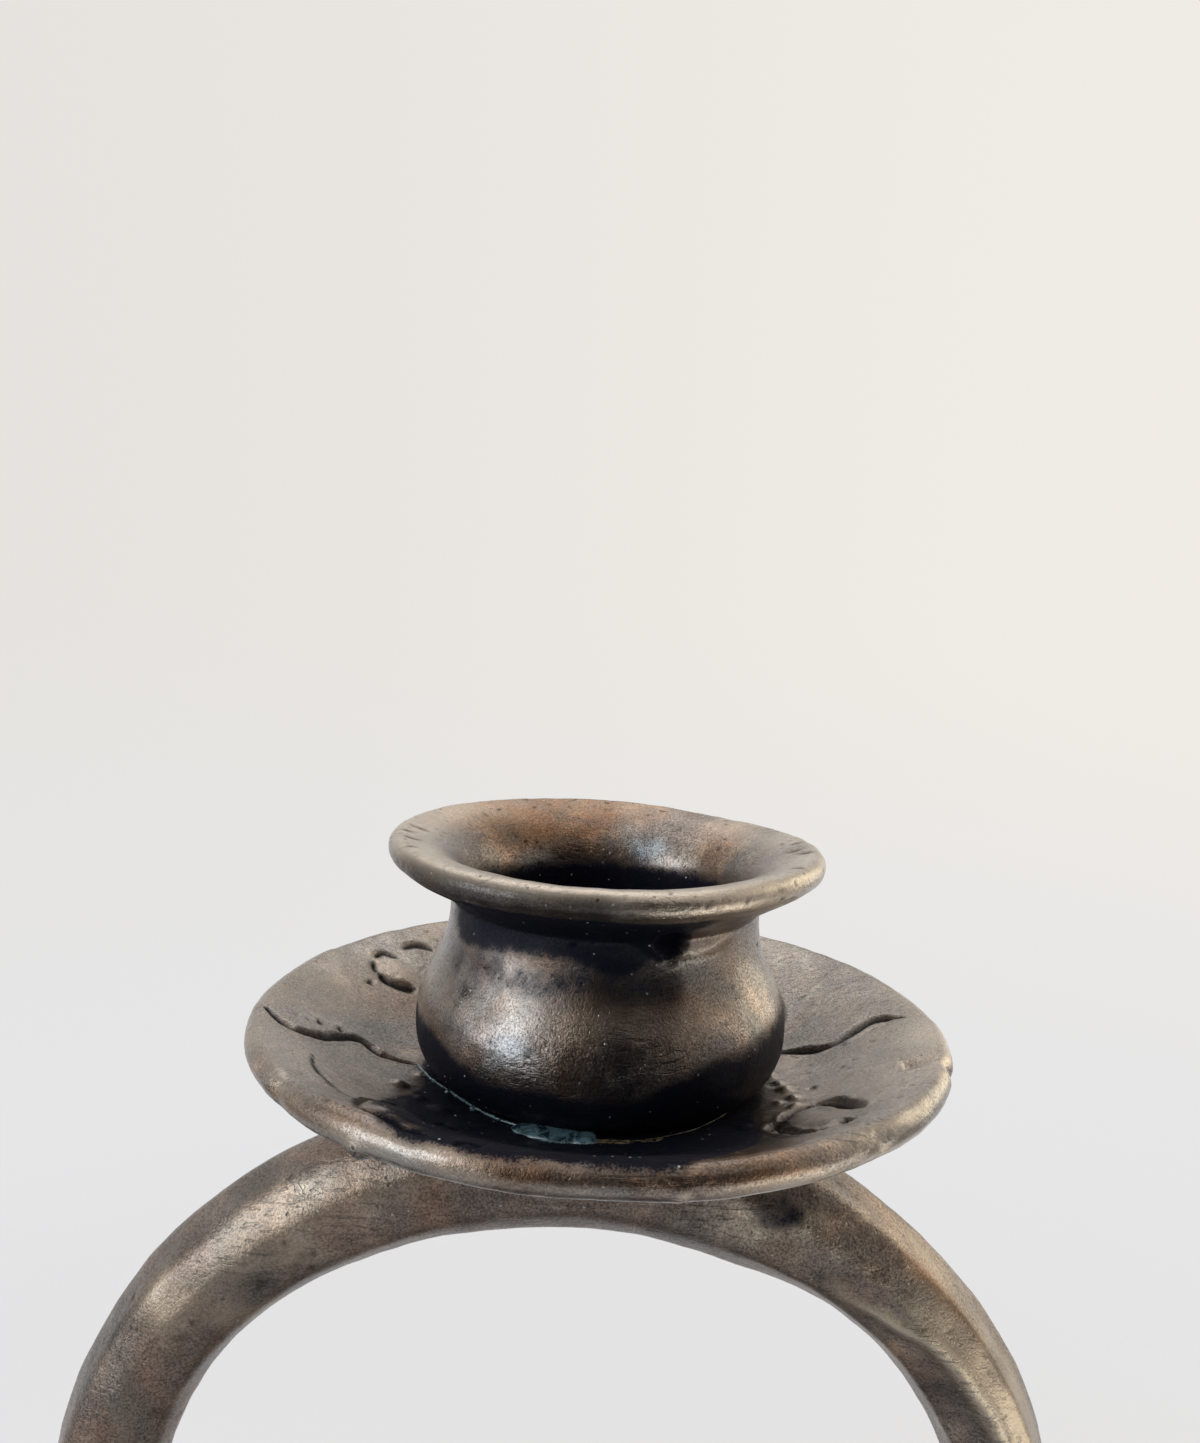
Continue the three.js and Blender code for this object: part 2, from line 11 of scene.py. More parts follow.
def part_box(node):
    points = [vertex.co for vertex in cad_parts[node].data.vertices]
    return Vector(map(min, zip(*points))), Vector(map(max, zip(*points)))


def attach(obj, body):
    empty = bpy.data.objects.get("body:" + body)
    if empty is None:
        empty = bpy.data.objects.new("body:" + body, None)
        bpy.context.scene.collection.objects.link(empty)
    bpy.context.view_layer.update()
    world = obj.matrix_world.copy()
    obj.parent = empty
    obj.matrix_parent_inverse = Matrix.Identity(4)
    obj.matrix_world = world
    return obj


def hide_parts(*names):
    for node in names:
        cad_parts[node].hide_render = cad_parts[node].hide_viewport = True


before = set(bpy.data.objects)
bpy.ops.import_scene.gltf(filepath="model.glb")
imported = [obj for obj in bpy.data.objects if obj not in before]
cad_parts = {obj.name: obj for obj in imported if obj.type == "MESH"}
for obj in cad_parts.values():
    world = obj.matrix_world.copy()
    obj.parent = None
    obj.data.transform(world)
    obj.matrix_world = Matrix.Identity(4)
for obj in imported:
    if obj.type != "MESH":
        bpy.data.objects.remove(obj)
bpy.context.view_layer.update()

mm = 0.001
scene = bpy.context.scene
scene.view_settings.view_transform = "Standard"
print("frame loaded:", len(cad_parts), "nodes")


def boxMiddle(node):
    low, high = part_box(node)
    return (low + high) / 2


# Camera, placed from the middle of the upper pan's edge
photoHeight = 1443       # pixels, the longer side of the photograph
cameraShot = {
    "focalPixels": 1200,             # focal length in the photograph's pixels
    "distance": 101.32 * mm,         # in front of the cup's axis
    "sideways": -1.2 * mm,
    "abovePanEdge": 37.76 * mm,
    "pitchDown": 0.114,              # radians
    "roll": 0.047,
    "sensor": 36.0,
}


def makeCamera(shot):
    panMiddle = boxMiddle("pan_center")
    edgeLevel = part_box("pan_center")[1].z - panSizes["edgeThickness"] / 2
    forward = Vector((0, math.cos(shot["pitchDown"]), -math.sin(shot["pitchDown"])))
    level = forward.cross(Vector((0, 0, 1))).normalized()
    upright = level.cross(forward)
    right = level * math.cos(shot["roll"]) + upright * math.sin(shot["roll"])
    up = right.cross(forward)
    data = bpy.data.cameras.new("photo_camera")
    data.sensor_width = shot["sensor"]
    data.lens = shot["focalPixels"] / photoHeight * shot["sensor"]
    data.clip_start = 5 * mm
    data.clip_end = 20
    camera = bpy.data.objects.new("photo_camera", data)
    spot = Vector((panMiddle.x + shot["sideways"], -shot["distance"], edgeLevel + shot["abovePanEdge"]))
    camera.matrix_world = Matrix.Translation(spot) @ Matrix((right, up, -forward)).transposed().to_4x4()
    scene.collection.objects.link(camera)
    scene.camera = camera


# Shared mesh tools
def tracePath(start, moves, gap):
    points = [Vector((*start, 0))]
    for kind, *shape in moves:
        here = points[-1]
        if kind == "line":
            end = Vector((*shape[0], 0))
            count = max(1, round((end - here).length / gap))
            points += [here.lerp(end, (k + 1) / count) for k in range(count)]
        elif kind == "coarse":       # hidden stretch, few points
            end = Vector((*shape[0], 0))
            points += [here.lerp(end, (k + 1) / 4) for k in range(4)]
        elif kind == "curve":
            first, second, end = (Vector((*knot, 0)) for knot in shape)
            reach = (first - here).length + (second - first).length + (end - second).length
            points += interpolate_bezier(here, first, second, end, max(6, round(reach / gap)) + 1)[1:]
        elif kind == "arc":
            centre, radius, fromAngle, toAngle = shape
            count = max(6, round(abs(toAngle - fromAngle) * radius / gap))
            for k in range(count):
                angle = fromAngle + (toAngle - fromAngle) * (k + 1) / count
                points.append(Vector((centre[0] + radius * math.cos(angle),
                                      centre[1] + radius * math.sin(angle), 0)))
    return points


def spinPath(points, steps):
    # a closed outline of radius and height, spun an eighth of a turn and doubled three times
    bm = bmesh.new()
    if (points[0] - points[-1]).length < 1e-7:
        points = points[:-1]
    row = [bm.verts.new((max(point.x, 0), 0, point.y)) for point in points]
    edges = [bm.edges.new(pair) for pair in zip(row, row[1:] + row[:1])]
    bmesh.ops.spin(bm, geom=row + edges, cent=(0, 0, 0), axis=(0, 0, 1), dvec=(0, 0, 0),
                   angle=math.tau / 8, steps=steps // 8, use_merge=False)
    for turns in (8, 4, 2):
        copied = bmesh.ops.duplicate(bm, geom=bm.verts[:] + bm.edges[:] + bm.faces[:])["geom"]
        verts = [part for part in copied if isinstance(part, bmesh.types.BMVert)]
        bmesh.ops.rotate(bm, verts=verts, cent=(0, 0, 0), matrix=Matrix.Rotation(math.tau / turns, 3, "Z"))
    return closeUp(bm)


def closeUp(bm):
    bmesh.ops.remove_doubles(bm, verts=bm.verts, dist=1e-7)
    bmesh.ops.dissolve_degenerate(bm, edges=bm.edges, dist=1e-8)
    bmesh.ops.recalc_face_normals(bm, faces=bm.faces)
    bm.normal_update()
    return bm


def rollBar(stations, around, radiusAt, closed=False):
    # a grid rolled up along stations of (centre, across, along), with radiusAt(station share, turn)
    rows = len(stations) - 1
    bm = bmesh.new()
    bmesh.ops.create_grid(bm, x_segments=rows, y_segments=around, size=1)
    for vert in bm.verts:
        k = round((vert.co.x + 1) / 2 * rows)
        turn = (vert.co.y + 1) / 2 * math.tau
        centre, across, along = stations[k]
        radius = radiusAt(k / rows, turn)
        vert.co = centre + across * (radius * math.cos(turn)) + along * (radius * math.sin(turn))
    bmesh.ops.remove_doubles(bm, verts=bm.verts, dist=1e-7)
    if not closed:
        ends = [edge for edge in bm.edges if edge.is_boundary]
        bmesh.ops.holes_fill(bm, edges=ends, sides=0)
    return closeUp(bm)


def softFacets(turn, flats, crispness):
    # radius of a bar with flat sides and soft corners, each flat given as (direction, distance)
    total = sum(max(0.0, math.cos(turn - way) / reach) ** crispness for way, reach in flats)
    return total ** (-1 / crispness)


def octagon(twist=0.0):
    # flats of an eight-sided bar, every other one a little farther out
    return [(k * math.pi / 4 + twist, 1.0 if k % 2 == 0 else 1.04) for k in range(8)]


def wander(point, size, seed=0.0):
    return noise.noise(point / size + Vector((seed, -seed, seed * 0.7)))


def pitting(point, size, share, seed=0.0):
    # 1 in the middle of scattered pits, 0 between them
    nearest, corner = noise.voronoi(point / size + Vector((seed, seed, -seed)))
    chosen = noise.cell(corner[0] * 7.3) < share
    return max(0.0, 1 - nearest[0] / 0.32) if chosen else 0.0


def smoothStep(low, high, value):
    share = min(1.0, max(0.0, (value - low) / (high - low)))
    return share * share * (3 - 2 * share)


def bump(value, middle, width):
    return math.exp(-((value - middle) / width) ** 2)


def ripples(point, layers, seed):
    # unevenness in layers, each a size and a height
    return sum(height * wander(point, size, seed) for size, height in layers)


def rimSway(outward, bends, seed):
    # slow bends of a rim, out and up: noise radius, size, height and seed step of each
    out, up, ripple = (height * wander(outward * reach, size, seed + step)
                       for reach, size, height, step in bends)
    return outward * out + Vector((0, 0, up + ripple))


def scatteredPits(point, size, share, seed, field, offset):
    # pits in patches, a patch being where the slower noise of this field is high
    patch = smoothStep(0.1, 0.5, wander(point, field, seed + 4) + offset)
    return pitting(point, size, share, seed) * patch


def onCircle(degrees, radius, height):
    # a place at a heading from the front
    angle = math.radians(degrees)
    return Vector((math.sin(angle) * radius, -math.cos(angle) * radius, height))


def degreesApart(heading, way):
    return (heading - way + 180) % 360 - 180


def roundAxis(vert):
    # place, distance from the axis, direction out from it, and heading from the front in degrees
    spot = vert.co.copy()
    radius = math.hypot(spot.x, spot.y)
    outward = Vector((spot.x, spot.y, 0)) / max(radius, 1e-6)
    return spot, radius, outward, math.degrees(math.atan2(spot.x, -spot.y))


def maskLayers(bm, *names):
    # the layer of heat colours and painted reflection colours is not called heat, because Cycles keeps that
    # name for volumes
    floats = bm.verts.layers.float
    for name in names:
        if name not in floats.keys():
            floats.new(name)
    return [floats[name] for name in names]


def moveAll(moves):
    for vert, move in moves:
        vert.co += move


def carve(bm, cutter, label):
    # bm without the space of cutter, by an exact Boolean modifier
    whole, tool = (bpy.data.meshes.new(label + suffix) for suffix in ("_whole", "_tool"))
    bm.to_mesh(whole)
    cutter.to_mesh(tool)
    target, knife = (bpy.data.objects.new(mesh.name, mesh) for mesh in (whole, tool))
    for thing in (target, knife):
        scene.collection.objects.link(thing)
    boolean = target.modifiers.new("carve", "BOOLEAN")
    boolean.operation = "DIFFERENCE"
    boolean.solver = "EXACT"
    boolean.object = knife
    shaped = target.evaluated_get(bpy.context.evaluated_depsgraph_get()).to_mesh()
    result = bmesh.new()
    result.from_mesh(shaped)
    for thing in (target, knife):
        bpy.data.objects.remove(thing)
    for mesh in (whole, tool):
        bpy.data.meshes.remove(mesh)
    bm.free()
    cutter.free()
    return result


def shiftBy(bm, offset):
    bmesh.ops.translate(bm, verts=bm.verts, vec=offset)
    return bm


def meshObject(name, bm, material):
    mesh = bpy.data.meshes.new(name)
    bm.to_mesh(mesh)
    bm.free()
    mesh.materials.append(material)
    thing = bpy.data.objects.new(name, mesh)
    scene.collection.objects.link(thing)
    return thing


def makePiece(name, bm, material, node=None):
    piece = meshObject(name, bm, material)
    piece.data.shade_smooth()
    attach(piece, "root")
    if node:
        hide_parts(node)


# Materials
def newMaterial(name, constants):
    material = bpy.data.materials.new(name)
    material.use_nodes = True
    tree = material.node_tree
    shader = tree.nodes["Principled BSDF"]
    for label, value in constants.items():
        shader.inputs[label].default_value = value
    return material, tree, shader


def feedShader(tree, shader, sockets):
    for label, socket in sockets.items():
        tree.links.new(socket, shader.inputs[label])


def addNode(tree, kind, inputs=None, **settings):
    node = tree.nodes.new("ShaderNode" + kind)
    for key, value in settings.items():
        setattr(node, key, value)
    for key, value in (inputs or {}).items():
        socket = node.inputs[key]
        if isinstance(value, bpy.types.NodeSocket):
            tree.links.new(value, socket)
        else:
            socket.default_value = value
    return node


def mathNode(tree, operation, first, second, clamp=False):
    return addNode(tree, "Math", {0: first, 1: second}, operation=operation, use_clamp=clamp).outputs[0]


def mixColor(tree, factor, first, second, blend="MIX"):
    node = addNode(tree, "Mix", data_type="RGBA", blend_type=blend, clamp_factor=True)
    for index, value in ((0, factor), (6, first), (7, second)):
        if isinstance(value, bpy.types.NodeSocket):
            tree.links.new(value, node.inputs[index])
        else:
            node.inputs[index].default_value = value
    return node.outputs[2]


def rangeNode(tree, value, low, high, toLow=0.0, toHigh=1.0):
    node = addNode(tree, "MapRange", {0: value, 1: low, 2: high, 3: toLow, 4: toHigh},
                   interpolation_type="SMOOTHSTEP")
    return node.outputs[0]


def noiseNode(tree, place, scale, detail=3.0, roughness=0.55, distortion=0.0):
    node = addNode(tree, "TexNoise", {"Vector": place, "Scale": scale, "Detail": detail,
                                      "Roughness": roughness, "Distortion": distortion})
    return node.outputs[0]


def makeSurfaceGroup():
    # worn patina with painted light: three mottled tones, tints, stains, pits, scratches, hatching, heat
    # colours and painted reflection colours, painted shade, dust, and painted highlights riding on the wear
    group = bpy.data.node_groups.new("patinaAndPaintedLight", "ShaderNodeTree")
    colorLabels = ("Deep", "Body", "Bare", "Stain")
    amountLabels = ("Stain Amount", "Tint Amount", "Mottle Scale", "Grain Scale", "Streak Amount", "Wear And Highlight",
                    "Groove And Shade", "Painted Shade", "Heat And Sheen", "Wax", "Smooth", "Rough")
    for way, kind, labels in (
            ("INPUT", "NodeSocketColor", colorLabels), ("INPUT", "NodeSocketFloat", amountLabels),
            ("OUTPUT", "NodeSocketColor", ("Color",)),
            ("OUTPUT", "NodeSocketFloat", ("Roughness", "Coat", "Height"))):
        for label in labels:
            group.interface.new_socket(label, in_out=way, socket_type=kind)
    given = group.nodes.new("NodeGroupInput").outputs
    place = addNode(group, "TexCoord").outputs["Object"]

    def times(first, second, clamp=False):
        return mathNode(group, "MULTIPLY", first, second, clamp)

    def plus(first, second, clamp=False):
        return mathNode(group, "ADD", first, second, clamp)

    def minus(first, second, clamp=False):
        return mathNode(group, "SUBTRACT", first, second, clamp)

    mottle = noiseNode(group, place, given["Mottle Scale"], 5.0, 0.62, 0.35)
    patches = noiseNode(group, place, times(given["Mottle Scale"], 3.7), 4.0, 0.6)
    blotch = noiseNode(group, place, times(given["Mottle Scale"], 0.55), 3.0, 0.5, 0.6)
    tint = noiseNode(group, place, times(given["Mottle Scale"], 0.8), 2.0, 0.5, 1.1)
    grain = noiseNode(group, place, given["Grain Scale"], 2.0, 0.7)
    fine = noiseNode(group, place, times(given["Grain Scale"], 3.1), 1.0, 0.6)
    grit = noiseNode(group, place, times(given["Grain Scale"], 2.0), 3.0, 0.75)
    flat = addNode(group, "Mapping", {"Vector": place, "Scale": (0.12, 0.12, 1.0)}).outputs[0]
    streaks = noiseNode(group, flat, given["Grain Scale"], 2.0, 0.6)

    # pits in clusters, and thin scratches along a noise's contour
    cells = addNode(group, "TexVoronoi", {"Vector": place, "Scale": times(given["Grain Scale"], 0.45)},
                    feature="F1").outputs
    pits = times(rangeNode(group, cells["Distance"], 0.26, 0.08), rangeNode(group, patches, 0.53, 0.66))
    drawn = addNode(group, "Mapping", {"Vector": place, "Scale": (0.3, 1.0, 1.0),
                                       "Rotation": (0.0, 0.0, 0.35)}).outputs[0]
    contour = noiseNode(group, drawn, times(given["Mottle Scale"], 3.0), 2.0, 0.5, 0.8)
    offLine = addNode(group, "Math", {0: minus(contour, 0.5)}, operation="ABSOLUTE").outputs[0]
    scratches = times(rangeNode(group, offLine, 0.008, 0.002), rangeNode(group, mottle, 0.54, 0.66))

    # fine hatching, as left by a scouring pad
    hatched = addNode(group, "Mapping", {"Vector": place, "Scale": (0.07, 1.0, 1.0),
                                         "Rotation": (0.0, 0.0, 0.9)}).outputs[0]
    hatch = noiseNode(group, hatched, given["Grain Scale"], 2.0, 0.6, 0.3)
    hatch = times(rangeNode(group, hatch, 0.52, 0.68), rangeNode(group, blotch, 0.56, 0.4))

    # dust: a few small pale dots
    crumbs = addNode(group, "TexVoronoi", {"Vector": place, "Scale": times(given["Grain Scale"], 0.62)},
                     feature="F1").outputs
    picked = addNode(group, "SeparateColor", {0: crumbs["Color"]}).outputs[0]
    dust = times(rangeNode(group, crumbs["Distance"], 0.2, 0.1), rangeNode(group, picked, 0.86, 0.9))

    tone = plus(times(mottle, 0.62), plus(times(patches, 0.26), times(fine, 0.12)))
    color = mixColor(group, rangeNode(group, tone, 0.3, 0.56), given["Deep"], given["Body"])
    color = mixColor(group, rangeNode(group, tone, 0.5, 0.74), color, given["Bare"])
    shade = mixColor(group, rangeNode(group, tint, 0.36, 0.64), (1.12, 0.95, 0.9, 1), (0.86, 0.99, 1.16, 1))
    color = mixColor(group, given["Tint Amount"], color, shade, "MULTIPLY")
    stain = times(rangeNode(group, blotch, 0.46, 0.68), given["Stain Amount"])
    color = mixColor(group, stain, color, given["Stain"])
    lines = times(rangeNode(group, streaks, 0.42, 0.7), given["Streak Amount"])
    color = mixColor(group, lines, color, given["Deep"])
    speckle = mixColor(group, rangeNode(group, grit, 0.3, 0.7), (0.44, 0.44, 0.46, 1), (1.7, 1.67, 1.6, 1))
    color = mixColor(group, 0.85, color, speckle, "MULTIPLY")
    # bare metal where worn, and the painted highlights that ride on the same input
    color = mixColor(group, times(given["Wear And Highlight"], 0.85, True), color, given["Bare"])
    # heat colours and painted reflection colours: orange above nought, blue below it
    tintShare = times(given["Heat And Sheen"], plus(times(patches, 1.2), 0.4))
    warm = rangeNode(group, tintShare, 0.0, 1.0)
    color = mixColor(group, warm, color, (1.15, 0.8, 0.5, 1), "MULTIPLY")
    color = mixColor(group, rangeNode(group, tintShare, 0.0, -1.0), color, (0.78, 1.04, 1.34, 1), "MULTIPLY")
    color = mixColor(group, times(pits, 0.85), color, given["Deep"])
    color = mixColor(group, plus(times(scratches, 0.6), times(hatch, 0.42), True), color, given["Deep"])
    # dark pits, cuts and grooves, and painted shade where this input carries it
    color = mixColor(group, times(given["Groove And Shade"], 0.92, True), color, (0.012, 0.011, 0.012, 1))
    # painted shade: near-black navy with ragged edges, with dust specks showing on it
    ragged = plus(given["Painted Shade"], plus(times(minus(patches, 0.5), 0.8), times(minus(grit, 0.5), 1.2)))
    paintedShade = times(rangeNode(group, ragged, 0.24, 0.72), rangeNode(group, given["Painted Shade"], 0.02, 0.25))
    color = mixColor(group, times(paintedShade, 0.96), color, (0.008, 0.01, 0.019, 1))
    color = mixColor(group, times(dust, plus(times(paintedShade, 0.5), 0.3)), color, (0.5, 0.5, 0.5, 1))

    unevenness = plus(times(grain, 0.6), times(patches, 0.4))
    span = minus(given["Rough"], given["Smooth"])
    roughness = plus(given["Smooth"], times(span, unevenness))
    roughness = plus(roughness, plus(times(given["Groove And Shade"], 0.5), times(paintedShade, 0.34)), True)
    hidden = minus(1.0, plus(plus(times(paintedShade, 0.85), given["Groove And Shade"]), times(warm, 0.6), True), True)
    coat = times(times(given["Wax"], hidden), rangeNode(group, grit, 0.36, 0.63, 0.18, 1.0), True)
    height = plus(plus(times(grain, 0.45), times(grit, 0.55)), times(patches, 0.9))
    height = minus(height, plus(times(pits, 0.9), plus(times(scratches, 0.5), times(hatch, 0.5))))
    height = minus(height, times(lines, 0.4))
    height = plus(height, times(dust, 0.5))
    finished = group.nodes.new("NodeGroupOutput").inputs
    for label, value in (("Color", color), ("Roughness", roughness), ("Coat", coat), ("Height", height)):
        group.links.new(value, finished[label])
    return group


def makeMetal(name, look, group):
    material, tree, shader = newMaterial(name, {
        "Metallic": 1.0, "Coat Roughness": look["coatRoughness"], "Coat IOR": look["coatIor"]})
    patina = tree.nodes.new("ShaderNodeGroup")
    patina.node_tree = group
    for label, value in look["patina"].items():
        patina.inputs[label].default_value = value
    for label, attribute in (("Wear And Highlight", "wearAndHighlight"), ("Groove And Shade", "grooveAndShade"), ("Painted Shade", "paintedShade"), ("Heat And Sheen", "heatAndSheen")):
        source = addNode(tree, "Attribute", attribute_name=attribute)
        tree.links.new(source.outputs["Fac"], patina.inputs[label])
    relief = addNode(tree, "Bump", {"Strength": look["bump"], "Distance": look["bumpDepth"],
                                    "Height": patina.outputs["Height"]})
    feedShader(tree, shader, {
        "Base Color": patina.outputs["Color"], "Roughness": patina.outputs["Roughness"],
        "Normal": relief.outputs[0], "Coat Weight": patina.outputs["Coat"]})
    return material


metalLooks = {
    "castBronze": {
        "patina": {
            "Deep": (0.024, 0.02, 0.019, 1), "Body": (0.088, 0.072, 0.063, 1),
            "Bare": (0.4, 0.337, 0.27, 1),
            "Stain": (0.17, 0.1, 0.05, 1), "Stain Amount": 0.35, "Tint Amount": 0.8, "Mottle Scale": 170.0,
            "Grain Scale": 2700.0, "Streak Amount": 0.2, "Wax": 1.0, "Smooth": 0.28, "Rough": 0.5},
        "bump": 0.8, "bumpDepth": 0.08 * mm, "coatRoughness": 0.24, "coatIor": 1.75,
    },
    "forgedBronze": {
        "patina": {
            "Deep": (0.034, 0.028, 0.024, 1), "Body": (0.116, 0.088, 0.07, 1),
            "Bare": (0.38, 0.31, 0.23, 1),
            "Stain": (0.17, 0.1, 0.05, 1), "Stain Amount": 0.3, "Tint Amount": 0.7, "Mottle Scale": 120.0,
            "Grain Scale": 2300.0, "Streak Amount": 0.15, "Wax": 0.9, "Smooth": 0.33, "Rough": 0.55},
        "bump": 0.85, "bumpDepth": 0.09 * mm, "coatRoughness": 0.35, "coatIor": 1.5,
    },
    "turnedBronze": {
        "patina": {
            "Deep": (0.036, 0.029, 0.024, 1), "Body": (0.13, 0.102, 0.078, 1), "Bare": (0.36, 0.3, 0.22, 1),
            "Stain": (0.17, 0.1, 0.05, 1), "Stain Amount": 0.3, "Tint Amount": 0.6, "Mottle Scale": 160.0,
            "Grain Scale": 2600.0, "Streak Amount": 0.4, "Wax": 0.9, "Smooth": 0.27, "Rough": 0.47},
        "bump": 0.6, "bumpDepth": 0.06 * mm, "coatRoughness": 0.32, "coatIor": 1.5,
    },
    "agedBrass": {
        "patina": {
            "Deep": (0.12, 0.08, 0.035, 1), "Body": (0.42, 0.3, 0.13, 1), "Bare": (0.6, 0.46, 0.22, 1),
            "Stain": (0.2, 0.12, 0.05, 1), "Stain Amount": 0.5, "Tint Amount": 0.1, "Mottle Scale": 260.0,
            "Grain Scale": 3200.0, "Streak Amount": 0.2, "Wax": 0.0, "Smooth": 0.24, "Rough": 0.45},
        "bump": 0.35, "bumpDepth": 0.03 * mm, "coatRoughness": 0.3, "coatIor": 1.5,
    },
    "zincSteel": {
        "patina": {
            "Deep": (0.22, 0.22, 0.21, 1), "Body": (0.42, 0.42, 0.41, 1), "Bare": (0.6, 0.6, 0.6, 1),
            "Stain": (0.3, 0.24, 0.16, 1), "Stain Amount": 0.25, "Tint Amount": 0.15, "Mottle Scale": 220.0,
            "Grain Scale": 3000.0, "Streak Amount": 0.1, "Wax": 0.0, "Smooth": 0.26, "Rough": 0.46},
        "bump": 0.3, "bumpDepth": 0.03 * mm, "coatRoughness": 0.3, "coatIor": 1.5,
    },
}
surfaceGroup = makeSurfaceGroup()
metals = {name: makeMetal(name, look, surfaceGroup) for name, look in metalLooks.items()}


def makeFelt():
    material, tree, shader = newMaterial("woolFelt", {
        "Roughness": 0.95, "Sheen Weight": 0.35, "Sheen Roughness": 0.5})
    place = addNode(tree, "TexCoord").outputs["Object"]
    fibres = noiseNode(tree, place, 900.0, 6.0, 0.75, 1.6)
    clumps = noiseNode(tree, place, 160.0, 3.0, 0.6)
    deep, pale, dusty = (0.02, 0.035, 0.025, 1), (0.065, 0.1, 0.072, 1), (0.03, 0.045, 0.035, 1)
    color = mixColor(tree, rangeNode(tree, fibres, 0.35, 0.68), deep, pale)
    color = mixColor(tree, rangeNode(tree, clumps, 0.4, 0.7, 0.0, 0.35), color, dusty)
    relief = addNode(tree, "Bump", {"Strength": 0.8, "Distance": 0.25 * mm, "Height": fibres})
    feedShader(tree, shader, {"Base Color": color, "Normal": relief.outputs[0]})
    return material


def makeSolder(name, deep, pale, metallic):
    # glassy residue in the seam under the cup
    material, tree, shader = newMaterial(name, {
        "Metallic": metallic, "Coat Weight": 0.6, "Coat Roughness": 0.2})
    place = addNode(tree, "TexCoord").outputs["Object"]
    smears = noiseNode(tree, place, 900.0, 4.0, 0.65, 1.4)
    color = mixColor(tree, rangeNode(tree, smears, 0.4, 0.66), deep, pale)
    relief = addNode(tree, "Bump", {"Strength": 0.6, "Distance": 0.1 * mm, "Height": smears})
    feedShader(tree, shader, {
        "Base Color": color, "Normal": relief.outputs[0],
        "Roughness": rangeNode(tree, smears, 0.3, 0.7, 0.2, 0.42)})
    return material


woolFelt = makeFelt()
seamResidue = makeSolder("seamResidue", (0.006, 0.018, 0.025, 1), (0.085, 0.15, 0.175, 1), 0.2)
seamGilt = makeSolder("seamGilt", (0.02, 0.014, 0.009, 1), (0.2, 0.15, 0.085, 1), 0.6)
print("materials made")

# Candle cups
cupSizes = {
    "boreRadius": 11.2 * mm, "neckWall": 2.05 * mm, "bellySwell": 2.7 * mm, "footTuck": 2.4 * mm,
    "lipFlare": 5.25 * mm, "lipRadius": 1.1 * mm, "floor": 3 * mm, "bellyHeight": 4.4 * mm,
    "neckRise": 10.5 * mm, "lipRise": 4.4 * mm, "throatDrop": 6.2 * mm, "screwHole": 2.3 * mm,
    "steps": 400, "gap": 0.26 * mm,
    # unevenness of the skin, as size and height of each layer, and slow bends of the lip
    "skin": ((8 * mm, 0.08 * mm), (2.4 * mm, 0.035 * mm), (0.7 * mm, 0.009 * mm)), "pitDepth": 0.09 * mm,
    "sway": ((8 * mm, 6 * mm, 0.14 * mm, 3), (12 * mm, 7 * mm, 0.16 * mm, 5),
             (18 * mm, 1.6 * mm, 0.05 * mm, 0)),
    # dents: heading from the front in degrees, height, size, depth
    "dents": ((20.5, 15.1 * mm, 0.85 * mm, 0.5 * mm), (24.5, 14.9 * mm, 0.7 * mm, 0.34 * mm),
              (22.5, 13.9 * mm, 0.6 * mm, 0.24 * mm), (-38, 9.2 * mm, 1.8 * mm, 0.1 * mm),
              (12, 11.4 * mm, 2.4 * mm, 0.12 * mm), (140, 10.5 * mm, 2.2 * mm, 0.3 * mm)),
    "dentDark": 3,          # how many of the dents, from the first, hold dirt
    # nicks in the flange: heading, then distance from the axis, size and depth in millimetres
    "nicks": ((-78, 16.6, 0.42, 0.2), (-85, 17.0, 0.36, 0.16), (-92, 16.1, 0.4, 0.16),
              (-66, 17.2, 0.36, 0.15), (82, 16.8, 0.42, 0.2), (88, 16.0, 0.36, 0.16),
              (97, 16.9, 0.4, 0.18), (61, 17.1, 0.36, 0.14)),
    # ridge of a leaf under the lip: heading in degrees and height in millimetres
    "leafRidge": ((5, 15.9), (11, 15.3), (16.5, 14.6), (22.8, 14.2), (29.5, 14.0), (35.8, 14.1),
                  (45, 14.6), (56, 15.3)),
    "ridgeHalf": 0.55 * mm, "ridgeRise": 0.2 * mm,
    # heat tints and painted reflection colours: heading, height, spread in degrees, half height in
    # millimetres, orange (+) or blue (-)
    "heatAndSheenTints": ((-24, 7.5, 13, 4.5, -0.6), (-48, 6.0, 12, 4.5, 0.3), (28.5, 8.5, 7, 3.0, 0.4),
                  (42, 10.0, 9, 3.0, 0.35), (161, 17.0, 14, 1.8, -1.0), (-150, 18.2, 40, 2.2, 1.05),
                  (178, 20.0, 40, 1.4, 0.5), (126, 17.6, 18, 2.2, 0.55)),
    # heading, spread, rise and reach of the lip's bends
    "lipBends": ((0, 55, -0.32 * mm, 0.12 * mm), (135, 38, -0.5 * mm, -0.65 * mm),
                 (-90, 30, 0.05 * mm, 0.15 * mm)),
}
